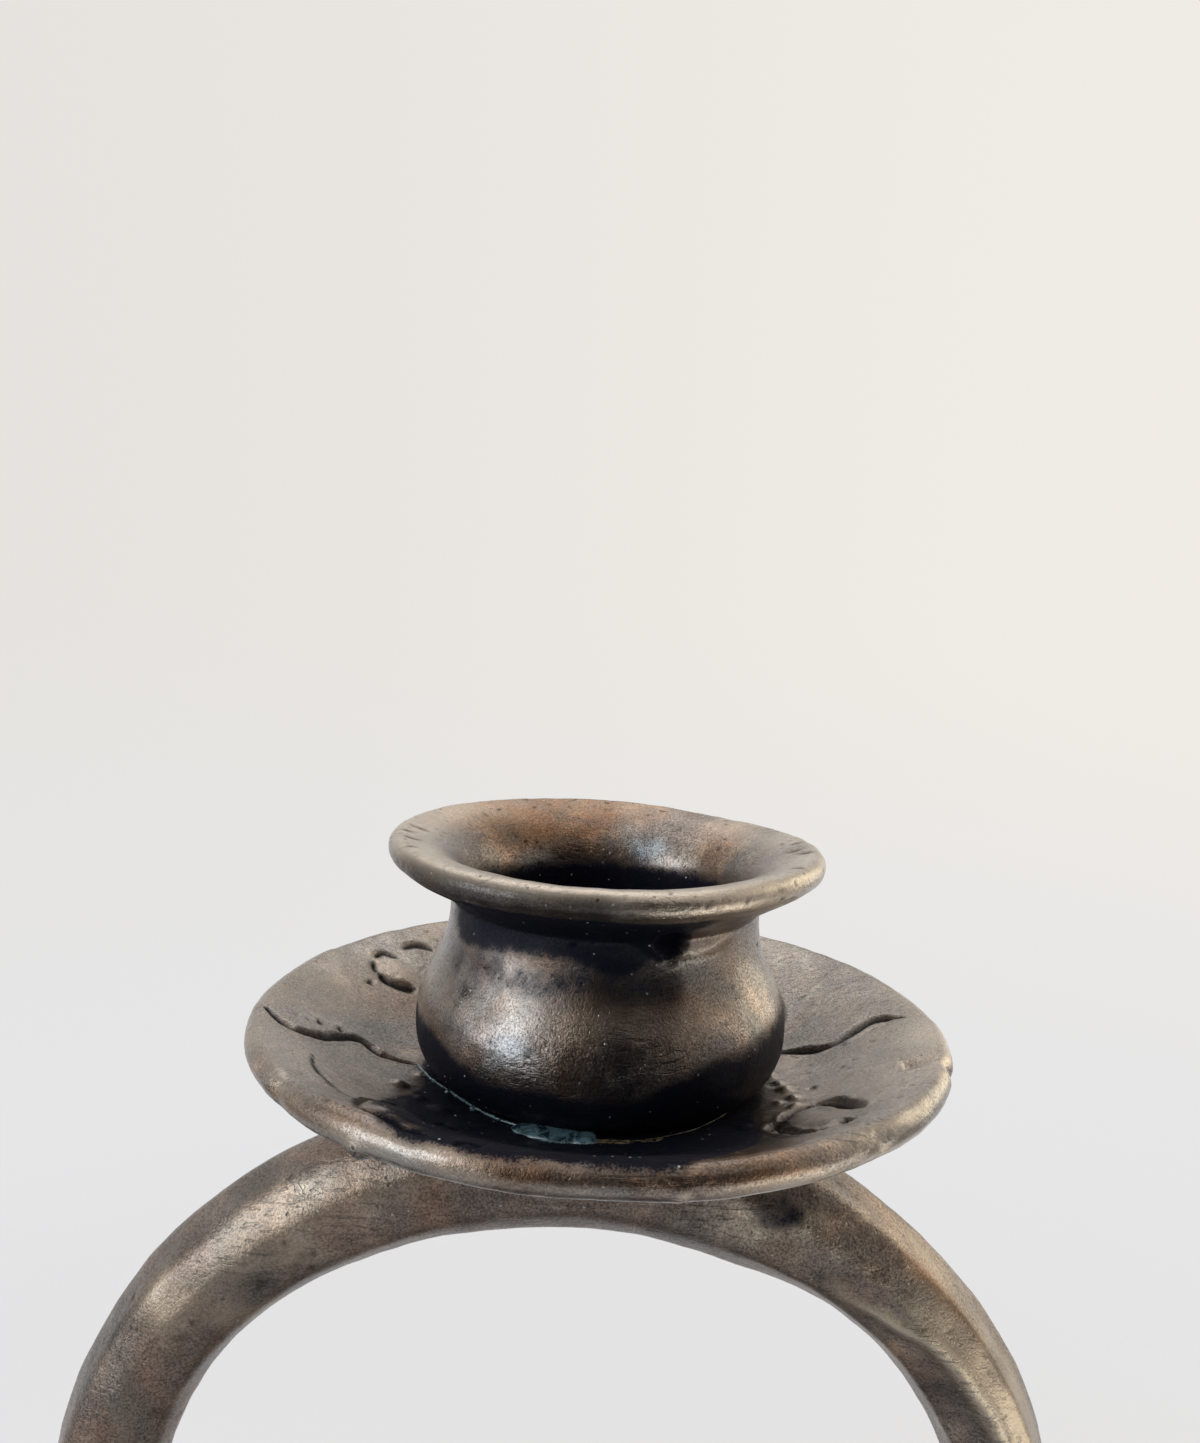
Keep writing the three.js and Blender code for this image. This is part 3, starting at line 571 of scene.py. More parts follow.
# wear, painted highlights and painted shade on the cups, as shares, heights above the foot, and headings in
# degrees
cupLook = {
    "edgeWear": 0.55, "flangeWear": 0.85, "backLoss": 0.62, "leftGain": 0.32, "ridgeWear": 0.25,
    "neckHighlight": 0.2, "tintHighlight": 0.06, "lipShade": 0.7,
    # line of the painted shade low on the belly, and where it rises: heading where that starts and ends, rise
    "shadeLevel": 3.7 * mm, "shadeRises": ((8, 34, 2.2 * mm), (40, 75, 0.8 * mm), (-36, -60, 1.9 * mm)),
    "shadeFade": 1.3 * mm, "rightFade": 0.9 * mm,
    # lower line of the painted shade on the neck under the lip, and where it dips: heading, spread, dip
    "hoodLevel": 13.7 * mm, "hoodDips": ((4, 12, 1.4 * mm), (-26, 12, 0.2 * mm), (-54, 14, 1.3 * mm)),
    "hoodUnder": 1.6 * mm, "hoodOver": 1.2 * mm, "hoodShare": 0.22, "hoodFront": 0.66,
    "boreDrop": 2.4 * mm, "boreFade": 3.2 * mm,
}


def cupLevels(sizes):
    # radius of neck and rim, and their heights above the foot
    neck = sizes["boreRadius"] + sizes["neckWall"]
    neckHeight = sizes["bellyHeight"] + sizes["neckRise"]
    return neck, neck + sizes["lipFlare"], neckHeight, neckHeight + sizes["lipRise"]


def cupOutline(sizes):
    neck, rim, neckHeight, rimHeight = cupLevels(sizes)
    belly = neck + sizes["bellySwell"]
    foot = belly - sizes["footTuck"]
    lip = sizes["lipRadius"]
    lipCentre = rim - lip
    under, over = -math.pi / 3, math.pi * 0.55
    lipStart = (lipCentre + lip * math.cos(under), rimHeight + lip * math.sin(under))
    lipEnd = (lipCentre + lip * math.cos(over), rimHeight + lip * math.sin(over))
    throat = rimHeight + lip - sizes["throatDrop"]
    bore, hole, floor = sizes["boreRadius"], sizes["screwHole"], sizes["floor"]
    return tracePath((hole, 0), [
        ("coarse", (foot, 0)),
        ("curve", (foot + sizes["footTuck"] * 0.65, sizes["bellyHeight"] * 0.15),
         (belly, sizes["bellyHeight"] * 0.55), (belly, sizes["bellyHeight"])),
        ("curve", (belly, sizes["bellyHeight"] + sizes["neckRise"] * 0.47),
         (neck, neckHeight - sizes["neckRise"] * 0.58), (neck, neckHeight)),
        ("curve", (neck, neckHeight + sizes["lipRise"] * 0.16),
         (lipStart[0] - sizes["lipFlare"] * 0.11, lipStart[1] - sizes["lipRise"] * 0.16), lipStart),
        ("arc", (lipCentre, rimHeight), lip, under, over),
        ("curve", ((lipEnd[0] + bore) / 2, lipEnd[1] - lip * 0.7),
         (bore, throat + sizes["throatDrop"] * 0.6), (bore, throat)),
        ("coarse", (bore, floor)),
        ("coarse", (hole, floor)),
        ("coarse", (hole, 0)),
    ], sizes["gap"])


def ridgeTree(sizes, twist):
    # points along the leaf's ridge, on the neck
    neck = cupLevels(sizes)[0]
    trail = smoothLine(sizes["leafRidge"], 0.5 * mm)
    tree = KDTree(len(trail))
    for number, point in enumerate(trail):
        tree.insert(onCircle(point.x / mm + twist, neck, point.y), number)
    tree.balance()
    return tree


def ridgeAt(sizes, tree, spot, outward, turned):
    # 1 on the leaf's ridge, fading out at both of its ends
    neck = cupLevels(sizes)[0]
    away = tree.find((outward.x * neck, outward.y * neck, spot.z))[2]
    ends = smoothStep(4, 14, turned) * smoothStep(58, 44, turned)
    return math.exp(-(away / sizes["ridgeHalf"]) ** 2) * ends


def cupPits(spot, lip, seed):
    # pits with crumpled edges, in patches, more of them on the lip
    crumpled = spot + Vector((wander(spot, 1 * mm, 3.1), wander(spot, 1 * mm, 7.7), 0)) * (0.5 * mm)
    pits = pitting(crumpled, 0.9 * mm, 0.18 + 0.4 * lip, seed)
    return pits * smoothStep(0.05, 0.5, wander(spot, 4 * mm, seed + 9) + 0.3 * lip)


def dentsAt(sizes, spot, radius, twist):
    # depth of the dents at a place, and the dirt in them
    depth, dirt = 0.0, 0.0
    for number, (way, height, size, deepest) in enumerate(sizes["dents"]):
        away = (spot - onCircle(way + twist, radius, height)).length / size
        depth += deepest * (math.exp(-away * away) - 0.3 * bump(away, 1.5, 0.35))
        if number < sizes["dentDark"]:
            dirt = max(dirt, 0.75 * math.exp(-away * away))
    return depth, dirt


def nicksAt(sizes, outward, radius, twist):
    # depth of the nicks in the flange, and the dirt in them
    depth, dirt = 0.0, 0.0
    for way, reach, size, deepest in sizes["nicks"]:
        angle = math.radians(way + twist)
        if outward.x * math.sin(angle) - outward.y * math.cos(angle) > 0:
            across = (outward.x * math.cos(angle) + outward.y * math.sin(angle)) * radius / (size * mm)
            along = (radius - reach * mm) / (size * mm * 1.7)
            share = math.exp(-across ** 2 - along ** 2)
            depth += deepest * mm * share
            dirt = max(dirt, 0.8 * share)
    return depth, dirt


def cupWearAndHighlight(sizes, look, spot, normal, radius, turned, seed):
    # bare metal on the lip's edge and flange, the flange painted darker at the back and lighter at the left
    # as light falls there; painted highlights along the lip's lower line and on the right of the neck
    neck, rim, _, rimHeight = cupLevels(sizes)
    edge = bump(radius, rim - 0.2 * mm, 0.9 * mm)
    edge *= smoothStep(rimHeight - 1 * mm, rimHeight + 1 * mm, spot.z)
    flange = smoothStep(neck - 1 * mm, rim - 2 * mm, radius) * smoothStep(0.2, 0.8, normal.z)
    around = look["flangeWear"] - look["backLoss"] * smoothStep(115, 160, abs(turned))
    around += look["leftGain"] * bump(turned, -90, 34)
    lipLine = bump(radius, rim - 0.5 * mm, 0.9 * mm)
    lipLine *= smoothStep(rimHeight + 0.3 * mm, rimHeight - 0.3 * mm, spot.z)
    lipLine *= smoothStep(-2, 14, turned) * smoothStep(110, 70, turned)
    rightNeck = bump(turned, 48, 13) * bump(spot.z, 13 * mm, 1.6 * mm)
    blotch = 0.8 + 0.7 * wander(spot, 5 * mm, seed + 2)
    return look["edgeWear"] * edge + around * flange * blotch + lipLine + look["neckHighlight"] * rightNeck


def cupShade(sizes, look, spot, normal, radius, turned, outer, seed):
    # painted shade and painted dark reflections: down the bore, or low on the belly, under the lip and in two
    # veils on the neck
    _, rim, _, rimHeight = cupLevels(sizes)
    if not outer:
        depth = 0.0 if spot.z < sizes["floor"] * 0.5 else rimHeight - look["boreDrop"] - spot.z
        return smoothStep(0.0, look["boreFade"], depth)
    ragged = 0.5 * mm * wander(spot, 3 * mm, seed)
    level = look["shadeLevel"] + ragged
    level += sum(rise * smoothStep(start, end, turned) for start, end, rise in look["shadeRises"])
    fade = look["shadeFade"] + look["rightFade"] * smoothStep(10, 40, turned)
    low = smoothStep(level + fade, level - fade, spot.z)
    front = smoothStep(-76, -58, turned) * smoothStep(34, 22, turned)
    line = look["hoodLevel"] + ragged
    line -= sum(dip * bump(turned, way, spread) for way, spread, dip in look["hoodDips"])
    hood = smoothStep(line - look["hoodUnder"], line + look["hoodOver"], spot.z)
    hood *= look["hoodShare"] + look["hoodFront"] * front
    hood *= smoothStep(0.65, 0.4, normal.z) * smoothStep(rim - 0.2 * mm, rim - 1.4 * mm, radius)
    frontVeil = 0.48 * front * bump(spot.z, 11.4 * mm, 2 * mm)
    leftVeil = 0.46 * bump(turned, -49, 11) * bump(spot.z, 9.4 * mm, 4.2 * mm)
    return max(low, hood, frontVeil, leftVeil)


def cupTint(sizes, spot, turned, outer):
    # heat colours and painted reflection colours, those with a heading in front on the outside, the others in
    # the funnel
    tint = 0.0
    for way, height, spread, half, amount in sizes["heatAndSheenTints"]:
        if outer == (abs(way) < 90):
            across, up = degreesApart(turned, way) / spread, (spot.z / mm - height) / half
            tint += amount * math.exp(-across ** 2 - up ** 2)
    return tint


def sculptCup(bm, sizes, look, seed):
    wearAndHighlight, grooveAndShade, shadeLayer, heatAndSheen = maskLayers(bm, "wearAndHighlight", "grooveAndShade", "paintedShade", "heatAndSheen")
    neck, rim, neckHeight, rimHeight = cupLevels(sizes)
    twist = seed * 40       # each cup is turned, so that no two show the same side
    leafRidge = ridgeTree(sizes, twist)
    moves = []
    for vert in bm.verts:
        spot, radius, outward, heading = roundAxis(vert)
        normal = vert.normal
        turned = degreesApart(heading, twist)
        outer = radius > neck - 0.5 * mm and normal.x * outward.x + normal.y * outward.y > -0.1
        lip = smoothStep(neckHeight, rimHeight, spot.z) * smoothStep(neck, rim - 1 * mm, radius)
        pits = cupPits(spot, lip, seed)
        dent, nick, ridge = 0.0, 0.0, 0.0
        dentDirt, nickDirt = 0.0, 0.0
        if radius > neck - 2 * mm:
            dent, dentDirt = dentsAt(sizes, spot, radius, twist)
        if radius > neck and spot.z > rimHeight:
            nick, nickDirt = nicksAt(sizes, outward, radius, twist)
        if radius > neck - 0.5 * mm and abs(turned - 30) < 40:
            ridge = ridgeAt(sizes, leafRidge, spot, outward, turned)
        lift = ripples(spot, sizes["skin"], seed) - sizes["pitDepth"] * pits
        lift += sizes["ridgeRise"] * ridge - dent - nick
        sway = rimSway(outward, sizes["sway"], seed)
        for way, spread, rise, reach in sizes["lipBends"]:
            share = bump(degreesApart(turned, way), 0, spread)
            sway += outward * (reach * share) + Vector((0, 0, rise * share))
        moves.append((vert, normal * lift + sway * lip))
        tint = cupTint(sizes, spot, turned, outer)
        bareShare = cupWearAndHighlight(sizes, look, spot, normal, radius, turned, seed) + look["ridgeWear"] * ridge
        # painted highlight on the tinted sheen spots in the funnel
        if not outer:
            bareShare += look["tintHighlight"] * min(1.0, abs(tint))
        # painted shade on the lip's front-left face, dimming its highlight
        face = look["lipShade"] * bump(radius, rim, 1.5 * mm) * smoothStep(0.97, 0.6, normal.z)
        face *= smoothStep(-78, -52, turned) * smoothStep(13, -4, turned)
        vert[wearAndHighlight] = min(1.0, bareShare)
        vert[grooveAndShade] = max(min(1.0, pits), dentDirt, nickDirt, face)
        vert[shadeLayer] = cupShade(sizes, look, spot, normal, radius, turned, outer, seed)
        vert[heatAndSheen] = tint
    moveAll(moves)


def makeCup(side, seed):
    bm = spinPath(cupOutline(cupSizes), cupSizes["steps"])
    sculptCup(bm, cupSizes, cupLook, seed)
    middle = boxMiddle("cup_" + side)
    shiftBy(bm, (middle.x, middle.y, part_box("cup_" + side)[0].z))
    makePiece("candle_cup_" + side, bm, metals["castBronze"], "cup_" + side)


# Drip pans, with lines incised by hand. Each line's points are millimetres from the cup's axis.
panSizes = {
    "radius": 29.7 * mm, "depth": 4 * mm, "thickness": 2 * mm, "edgeThickness": 2.6 * mm,
    "floorRadius": 14.8 * mm, "screwHole": 2.3 * mm, "steps": 560, "gap": 0.24 * mm,
    # unevenness of the skin, as size and height of each layer, and slow bends of the rim
    "skin": ((9 * mm, 0.12 * mm), (3 * mm, 0.07 * mm), (0.8 * mm, 0.024 * mm)), "pitDepth": 0.09 * mm,
    "sway": ((14 * mm, 7 * mm, 0.3 * mm, 3), (16 * mm, 11 * mm, 0.3 * mm, 5),
             (30 * mm, 2.2 * mm, 0.06 * mm, 1)),
}
# wear, painted light and painted shade on the pans, as shares, distances from the axis, and headings in
# degrees
panLook = {
    "edgeWear": 0.3, "sideWear": 0.32, "rightLight": 0.7, "leftLight": 0.16, "reliefWear": 1.9,
    "frontLeftHighlight": 0.4, "belowHighlight": 0.9, "brownLoss": 0.7, "silverWay": -27,
    # pool of painted shade, a painted dark reflection, in front of the cup
    "poolWay": -8, "poolFoot": 15.2 * mm, "poolGrowth": 14.1 * mm, "poolEnd": 29.3 * mm,
    "brown": 0.42, "leftBrown": 0.4, "silver": 0.5,
}
incisedLines = (
    {"width": 0.5, "depth": 0.42, "points": (
        (-28.0, -4.1), (-26.1, -5.8), (-24.8, -6.2), (-23.2, -4.9), (-21.9, -2.6), (-20.8, -1.6),
        (-19.9, -1.7), (-18.8, -2.4), (-18.1, -2.4), (-16.9, -2.4), (-15.6, -2.3))},
    {"width": 0.46, "depth": 0.4, "points": (
        (16.2, 4.0), (18.3, 3.0), (19.8, 2.1), (21.2, 2.1), (22.5, 2.7), (24.0, 3.3), (25.3, 3.1),
        (27.0, 1.9))},
    {"width": 0.36, "depth": 0.26, "points": ((-22.2, 13.1), (-21.8, 14.2), (-21.1, 14.4), (-20.1, 14.5))},
    {"width": 0.36, "depth": 0.24, "points": ((-20.0, 16.2), (-19.1, 17.4), (-18.1, 17.8), (-17.1, 17.7))},
    {"width": 0.5, "depth": 0.34, "points": ((-21.4, 10.8), (-20.5, 10.3), (-19.4, 10.4), (-17.9, 11.2))},
    {"width": 0.3, "depth": 0.16, "points": ((-22.2, 12.3), (-22.0, 11.4), (-21.5, 10.8))},
    {"width": 0.4, "depth": 0.3, "points": ((-21.7, 8.7), (-22.0, 9.1))},
    {"width": 0.3, "depth": 0.22, "points": ((-24.2, -2.0), (-23.6, -2.2))},
    {"width": 0.3, "depth": 0.2, "points": ((-22.6, -1.2), (-22.0, -1.6))},
    {"width": 0.2, "depth": 0.12, "points": (
        (-22.7, -9.8), (-21.8, -12.7), (-20.3, -15.0), (-18.7, -17.8), (-17.8, -18.7))},
    {"width": 0.36, "depth": 0.32, "points": (
        (-16.9, -21.7), (-17.1, -19.1), (-16.6, -17.1), (-15.9, -15.9), (-14.5, -14.9), (-13.0, -14.9))},
    {"width": 0.34, "depth": 0.28, "points": (
        (-16.9, -22.0), (-15.8, -22.6), (-14.6, -23.6), (-13.2, -24.9), (-11.4, -25.9))},
    {"width": 0.3, "depth": 0.26, "points": (
        (-9.7, -15.9), (-10.2, -15.1), (-11.2, -15.1), (-11.7, -15.9), (-11.2, -16.8), (-10.2, -16.8))},
    {"width": 0.26, "depth": 0.2, "points": ((-9.3, -27.2), (-8.4, -26.8), (-7.7, -27.3))},
    {"width": 0.6, "depth": 0.46, "points": (
        (17.1, -9.8), (18.0, -9.9), (18.8, -11.0), (19.3, -13.8), (19.6, -15.7))},
    {"width": 0.36, "depth": 0.34, "points": ((17.3, -9.8), (16.1, -10.1), (15.1, -10.7), (14.3, -11.8))},
    {"width": 0.62, "depth": 0.4, "points": ((14.3, -11.6), (13.8, -12.8), (13.7, -14.4))},
    {"width": 0.42, "depth": 0.36, "points": (
        (13.7, -13.6), (13.9, -16.3), (14.3, -19.8), (15.0, -20.9), (15.9, -20.8))},
    {"width": 0.55, "depth": 0.42, "points": ((17.5, -19.4), (17.9, -18.4))},
    {"width": 0.4, "depth": 0.28, "points": ((16.6, 7.8), (17.4, 10.2), (16.9, 13.2), (15.4, 14.4))},
)
# soft swellings between the lines: place, half sizes, heading in degrees, rise
swellings = (
    {"place": (-14.6, -19.2), "size": (2.2, 4.4), "turn": 12, "rise": 0.34},
    {"place": (-10.7, -15.9), "size": (0.8, 0.8), "turn": 0, "rise": 0.3},
    {"place": (16.4, -14.6), "size": (1.7, 3.7), "turn": 8, "rise": 0.26},
    {"place": (14.3, -9.6), "size": (2.6, 0.9), "turn": 22, "rise": 0.3},
    {"place": (-20.2, 12.6), "size": (1.7, 1.6), "turn": 0, "rise": 0.22},
)
# cast-in crumbs and nubs: place, size, rise
castCrumbs = (
    (15.0, -0.9, 0.7, 0.3), (15.6, -2.6, 0.5, 0.22), (15.9, -4.2, 0.7, 0.34), (16.2, -6.3, 0.5, 0.22),
    (16.0, -9.2, 0.6, 0.26), (14.9, -6.9, 0.4, 0.2), (-14.9, -4.4, 0.5, 0.22), (-16.1, -7.7, 0.7, 0.3),
    (-14.1, -9.6, 0.5, 0.24), (-12.3, -11.3, 0.8, 0.34), (11.6, -11.8, 0.5, 0.24), (17.9, -5.2, 0.4, -0.2),
)
# paler places in the pool of painted shade: place, size, how much paler
poolLights = (
    (-12.7, -24.1, 0.9, 0.85), (-15.6, -21.4, 1.0, 0.7), (-14.2, -22.8, 0.8, 0.5), (-10.6, -18.5, 0.9, 0.4),
    (-8.8, -25.6, 0.6, 0.4), (-9.2, -20.5, 0.5, 0.35), (1.9, -26.4, 0.5, 0.3), (5.2, -26.8, 0.5, 0.35),
    (-4.6, -24.9, 0.4, 0.3), (8.4, -22.5, 0.6, 0.3), (12.1, -13.2, 0.5, 0.4),
)


def smoothLine(points, gap):
    # Catmull-Rom curve through the points, as Bezier stretches
    knots = [Vector((x, y, 0)) * mm for x, y in points]
    trail = []
    for k in range(len(knots) - 1):
        before, after = knots[max(k - 1, 0)], knots[min(k + 2, len(knots) - 1)]
        start, end = knots[k], knots[k + 1]
        count = max(3, round((end - start).length / gap))
        first, second = start + (end - before) / 6, end - (after - start) / 6
        trail += interpolate_bezier(start, first, second, end, count)
    return trail


def panOutline(sizes):
    half = sizes["edgeThickness"] / 2
    edge = sizes["radius"] - half
    floor, hole = sizes["floorRadius"], sizes["screwHole"]
    slope = (edge - floor) / 3
    top, bottom = -sizes["depth"], -sizes["depth"] - sizes["thickness"]
    return tracePath((hole, bottom), [
        ("coarse", (floor, bottom)),
        ("curve", (floor + slope, bottom), (edge - slope, -half - sizes["depth"] / 4), (edge, -half)),
        ("arc", (edge, 0), half, -math.pi / 2, math.pi / 2),
        ("curve", (edge - slope, half - sizes["depth"] / 3), (floor + slope, top), (floor, top)),
        ("line", (floor - 3 * mm, top)),
        ("coarse", (hole, top)),
        ("coarse", (hole, bottom)),
    ], sizes["gap"])


# marks on the edge: heading in degrees, height, size, rise in millimetres, wear
edgeMarks = ((-33.7, -1.0, 0.7, 0.5, 0.55), (10.5, -0.6, 0.5, 0.15, 1.0), (72, 0.3, 0.9, -0.5, 0.4),
             (-52, 0.4, 1.2, -0.25, 0.3), (41, 0.2, 0.8, -0.2, 0.5))


def markTree(lines):
    # points of all the lines, with the width and depth of the cut at each
    trails = [(line, smoothLine(line["points"], 0.12 * mm)) for line in lines]
    tree = KDTree(sum(len(trail) for line, trail in trails))
    marks = []
    for line, trail in trails:
        for k, point in enumerate(trail):
            taper = min(1.0, 0.3 + 4 * min(k, len(trail) - 1 - k) / len(trail))
            taper *= 1 + 0.25 * wander(point, 1.3 * mm, 4.0)
            marks.append((line["width"] * mm * taper, line["depth"] * mm * taper))
            tree.insert(point, len(marks) - 1)
    tree.balance()
    return tree, marks


def reliefAt(x, y):
    # rise of the swellings and crumbs at a place on the pan, in metres
    rise = 0.0
    for swelling in swellings:
        turn = math.radians(swelling["turn"])
        across, along = x - swelling["place"][0], y - swelling["place"][1]
        first = (across * math.cos(turn) + along * math.sin(turn)) / swelling["size"][0]
        second = (along * math.cos(turn) - across * math.sin(turn)) / swelling["size"][1]
        rise += swelling["rise"] * mm * math.exp(-(first * first + second * second) ** 1.4)
    for left, front, size, height in castCrumbs:
        apart = math.hypot(x - left, y - front) / size
        rise += height * mm * math.exp(-apart ** 3)
    return rise


def panPool(look, spot, radius, apart, seed):
    # painted shade, a painted dark reflection, from the cup's foot to the front edge, with paler places in it
    reach = look["poolFoot"] + look["poolGrowth"] * smoothStep(66, 14, apart)
    reach = min(reach + 0.8 * mm * wander(spot, 4 * mm, seed + 6), look["poolEnd"])
    dark = smoothStep(reach + 0.9 * mm, reach - 1.2 * mm, radius) * smoothStep(110, 60, apart)
    for left, front, size, share in poolLights:
        away = math.hypot(spot.x / mm - left, spot.y / mm - front) / size
        dark *= 1 - share * math.exp(-away ** 2)
    return dark


def edgeMarksAt(spot, radius):
    # rise and shine of the marks on the edge
    rise, shine = 0.0, 0.0
    for way, height, size, highest, bright in edgeMarks:
        away = (spot - onCircle(way, radius, height * mm)).length / (size * mm)
        rise += highest * mm * math.exp(-away ** 2)
        shine = max(shine, bright * math.exp(-away ** 2))
    return rise, shine


def panWearAndLight(look, spot, normal, heading, rim, edge, relief, seed):
    # bare metal on the edge, the rising sides and the relief, with painted light: most on the sides at the
    # right, some at the left, and on the edge at the front left
    bareShare = look["edgeWear"] * edge * (0.7 + wander(spot, 5 * mm, seed + 2))
    sides = look["sideWear"] + look["rightLight"] * bump(heading, 78, 36)
    sides += look["leftLight"] * bump(heading, -85, 35)
    spread = max(rim, 0.5 * bump(heading, 72, 30))
    blotch = 0.8 + 0.8 * wander(spot, 7 * mm, seed + 7)
    bareShare += sides * spread * smoothStep(0.2, 0.8, normal.z) * blotch
    return bareShare + look["reliefWear"] * relief / mm + look["frontLeftHighlight"] * bump(heading, -36, 20) * edge


def sculptPan(bm, sizes, look, seed):
    wearAndHighlight, grooveAndShade, shadeLayer, heatAndSheen = maskLayers(bm, "wearAndHighlight", "grooveAndShade", "paintedShade", "heatAndSheen")
    tree, marks = markTree(incisedLines)
    outer = sizes["radius"]
    moves = []
    for vert in bm.verts:
        spot, radius, outward, heading = roundAxis(vert)
        normal = vert.normal
        apart = abs(heading - look["poolWay"])
        rim = smoothStep(sizes["floorRadius"] + 3 * mm, outer - 1 * mm, radius)
        edge = bump(spot.z, 0, 1.1 * mm) * smoothStep(outer - 2.2 * mm, outer - 0.4 * mm, radius)
        pits = scatteredPits(spot, 1.1 * mm, 0.22, seed, 5 * mm, 0.1)
        lift = ripples(spot, sizes["skin"], seed) - sizes["pitDepth"] * pits
        cutMark, dark, relief = 0.0, 0.0, 0.0
        if normal.z > 0.35 and radius > 12 * mm:
            index, away = tree.find(Vector((spot.x, spot.y, 0)))[1:]
            width, depth = marks[index]
            cutMark = math.exp(-(away / width) ** 2)
            relief = reliefAt(spot.x / mm, spot.y / mm)
            lift += depth * (0.26 * bump(away, 1.7 * width, 0.55 * width) - cutMark) + relief
            dark = panPool(look, spot, radius, apart, seed)
            lift += 0.12 * mm * smoothStep(60, 20, apart) * wander(spot, 1.3 * mm, seed + 6) * dark
        bareShare = panWearAndLight(look, spot, normal, heading, rim, edge, relief, seed)
        if rim > 0.8:
            rise, shine = edgeMarksAt(spot, radius)
            lift += rise
            bareShare = max(bareShare, shine)
        moves.append((vert, normal * lift + rimSway(outward, sizes["sway"], seed) * rim))
        # painted highlight under the edge at the right, and painted shade under it at the left
        below = smoothStep(-0.15, -0.5, normal.z) * smoothStep(outer - 3 * mm, outer - 1 * mm, radius)
        bareShare += look["belowHighlight"] * below * smoothStep(12, 30, heading) * smoothStep(110, 80, heading)
        dark = max(dark, 0.38 * below * smoothStep(-100, -70, heading) * smoothStep(24, 10, heading))
        # silver: a painted cool highlight on the edge at the front left
        silver = bump(heading, look["silverWay"], 9) * edge
        brown = smoothStep(48, 30, apart) * smoothStep(24 * mm, 27 * mm, radius)
        brown *= smoothStep(-0.2, 0.3, normal.z) * (1 - silver)
        vert[wearAndHighlight] = min(1.0, max(0.0, bareShare * (1 - look["brownLoss"] * brown)))
        # the groove layer also holds painted shade on the edge at the front left, dimming its highlight
        vert[grooveAndShade] = min(1.0, 1.2 * cutMark ** 1.4 + 0.7 * pits + 0.3 * bump(heading, -38, 18) * edge)
        vert[shadeLayer] = dark
        leftBrown = look["leftBrown"] * bump(heading, -62, 26) * edge
        vert[heatAndSheen] = look["brown"] * brown + leftBrown - look["silver"] * silver
    moveAll(moves)


def makePan(side, seed):
    bm = spinPath(panOutline(panSizes), panSizes["steps"])
    sculptPan(bm, panSizes, panLook, seed)
    middle = boxMiddle("pan_" + side)
    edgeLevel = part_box("pan_" + side)[1].z - panSizes["edgeThickness"] / 2
    shiftBy(bm, (middle.x, middle.y, edgeLevel))
    makePiece("drip_pan_" + side, bm, metals["castBronze"], "pan_" + side)


makeCamera(cameraShot)
for number, side in enumerate(("center", "right", "left")):
    makeCup(side, number * 1.3)
    makePan(side, number * 1.7)
print("cups and pans made")

# Residue in the seam round the foot of the middle cup, millimetres from the cup's axis
seamSizes = {
    "leftRadius": 0.13 * mm, "rightRadius": 0.055 * mm, "sides": 12, "lift": 0.1 * mm, "gap": 0.2 * mm,
    "left": ((-15.4, -2.6), (-13.9, -5.2), (-12.1, -7.4), (-9.8, -10.2), (-7.5, -12.3), (-5.9, -13.2)),
    "right": ((-0.4, -14.9), (3.3, -14.7), (6.5, -13.1), (8.1, -11.9), (10.7, -8.7), (13.2, -3.4)),
    # bubbles and drops: place, half sizes in millimetres, turn in degrees
    "drops": (((-3.3, -13.9), (3.0, 2.0, 0.62), -9), ((-1.2, -14.6), (1.5, 1.2, 0.5), -20),
              ((-5.1, -12.4), (0.9, 0.6, 0.3), -35), ((-12.1, -7.5), (0.36, 0.3, 0.26), 0),
              ((-9.8, -10.3), (0.32, 0.3, 0.24), 0), ((-13.6, -5.6), (0.2, 0.2, 0.16), 0)),
    "smears": (((1.4, -14.9), (1.6, 0.36, 0.12), 4), ((4.4, -14.2), (1.1, 0.3, 0.1), 22)),
}


def dropAt(bm, place, size, turn, origin):
    verts = bmesh.ops.create_icosphere(bm, subdivisions=4, radius=1)["verts"]
    for vert in verts:
        swell = 1 + 0.2 * noise.noise(vert.co * 1.6 + Vector((place[0], place[1], 0)))
        swell += 0.05 * noise.noise(vert.co * 6)
        vert.co = Vector([part * half * mm for part, half in zip(vert.co, size)]) * swell
    bmesh.ops.rotate(bm, verts=verts, cent=(0, 0, 0), matrix=Matrix.Rotation(math.radians(turn), 3, "Z"))
    bmesh.ops.translate(bm, verts=verts, vec=origin + Vector((place[0], place[1], 0)) * mm)


def beadRadius(radius):
    # thicker and thinner along the seam
    def radiusAt(share, turn):
        slow = noise.noise(Vector((share * 24, 0, 2)))
        quick = noise.noise(Vector((share * 70, 3, 0)))
        return radius * max(0.3, 1 + 0.5 * slow + 0.3 * quick)
    return radiusAt


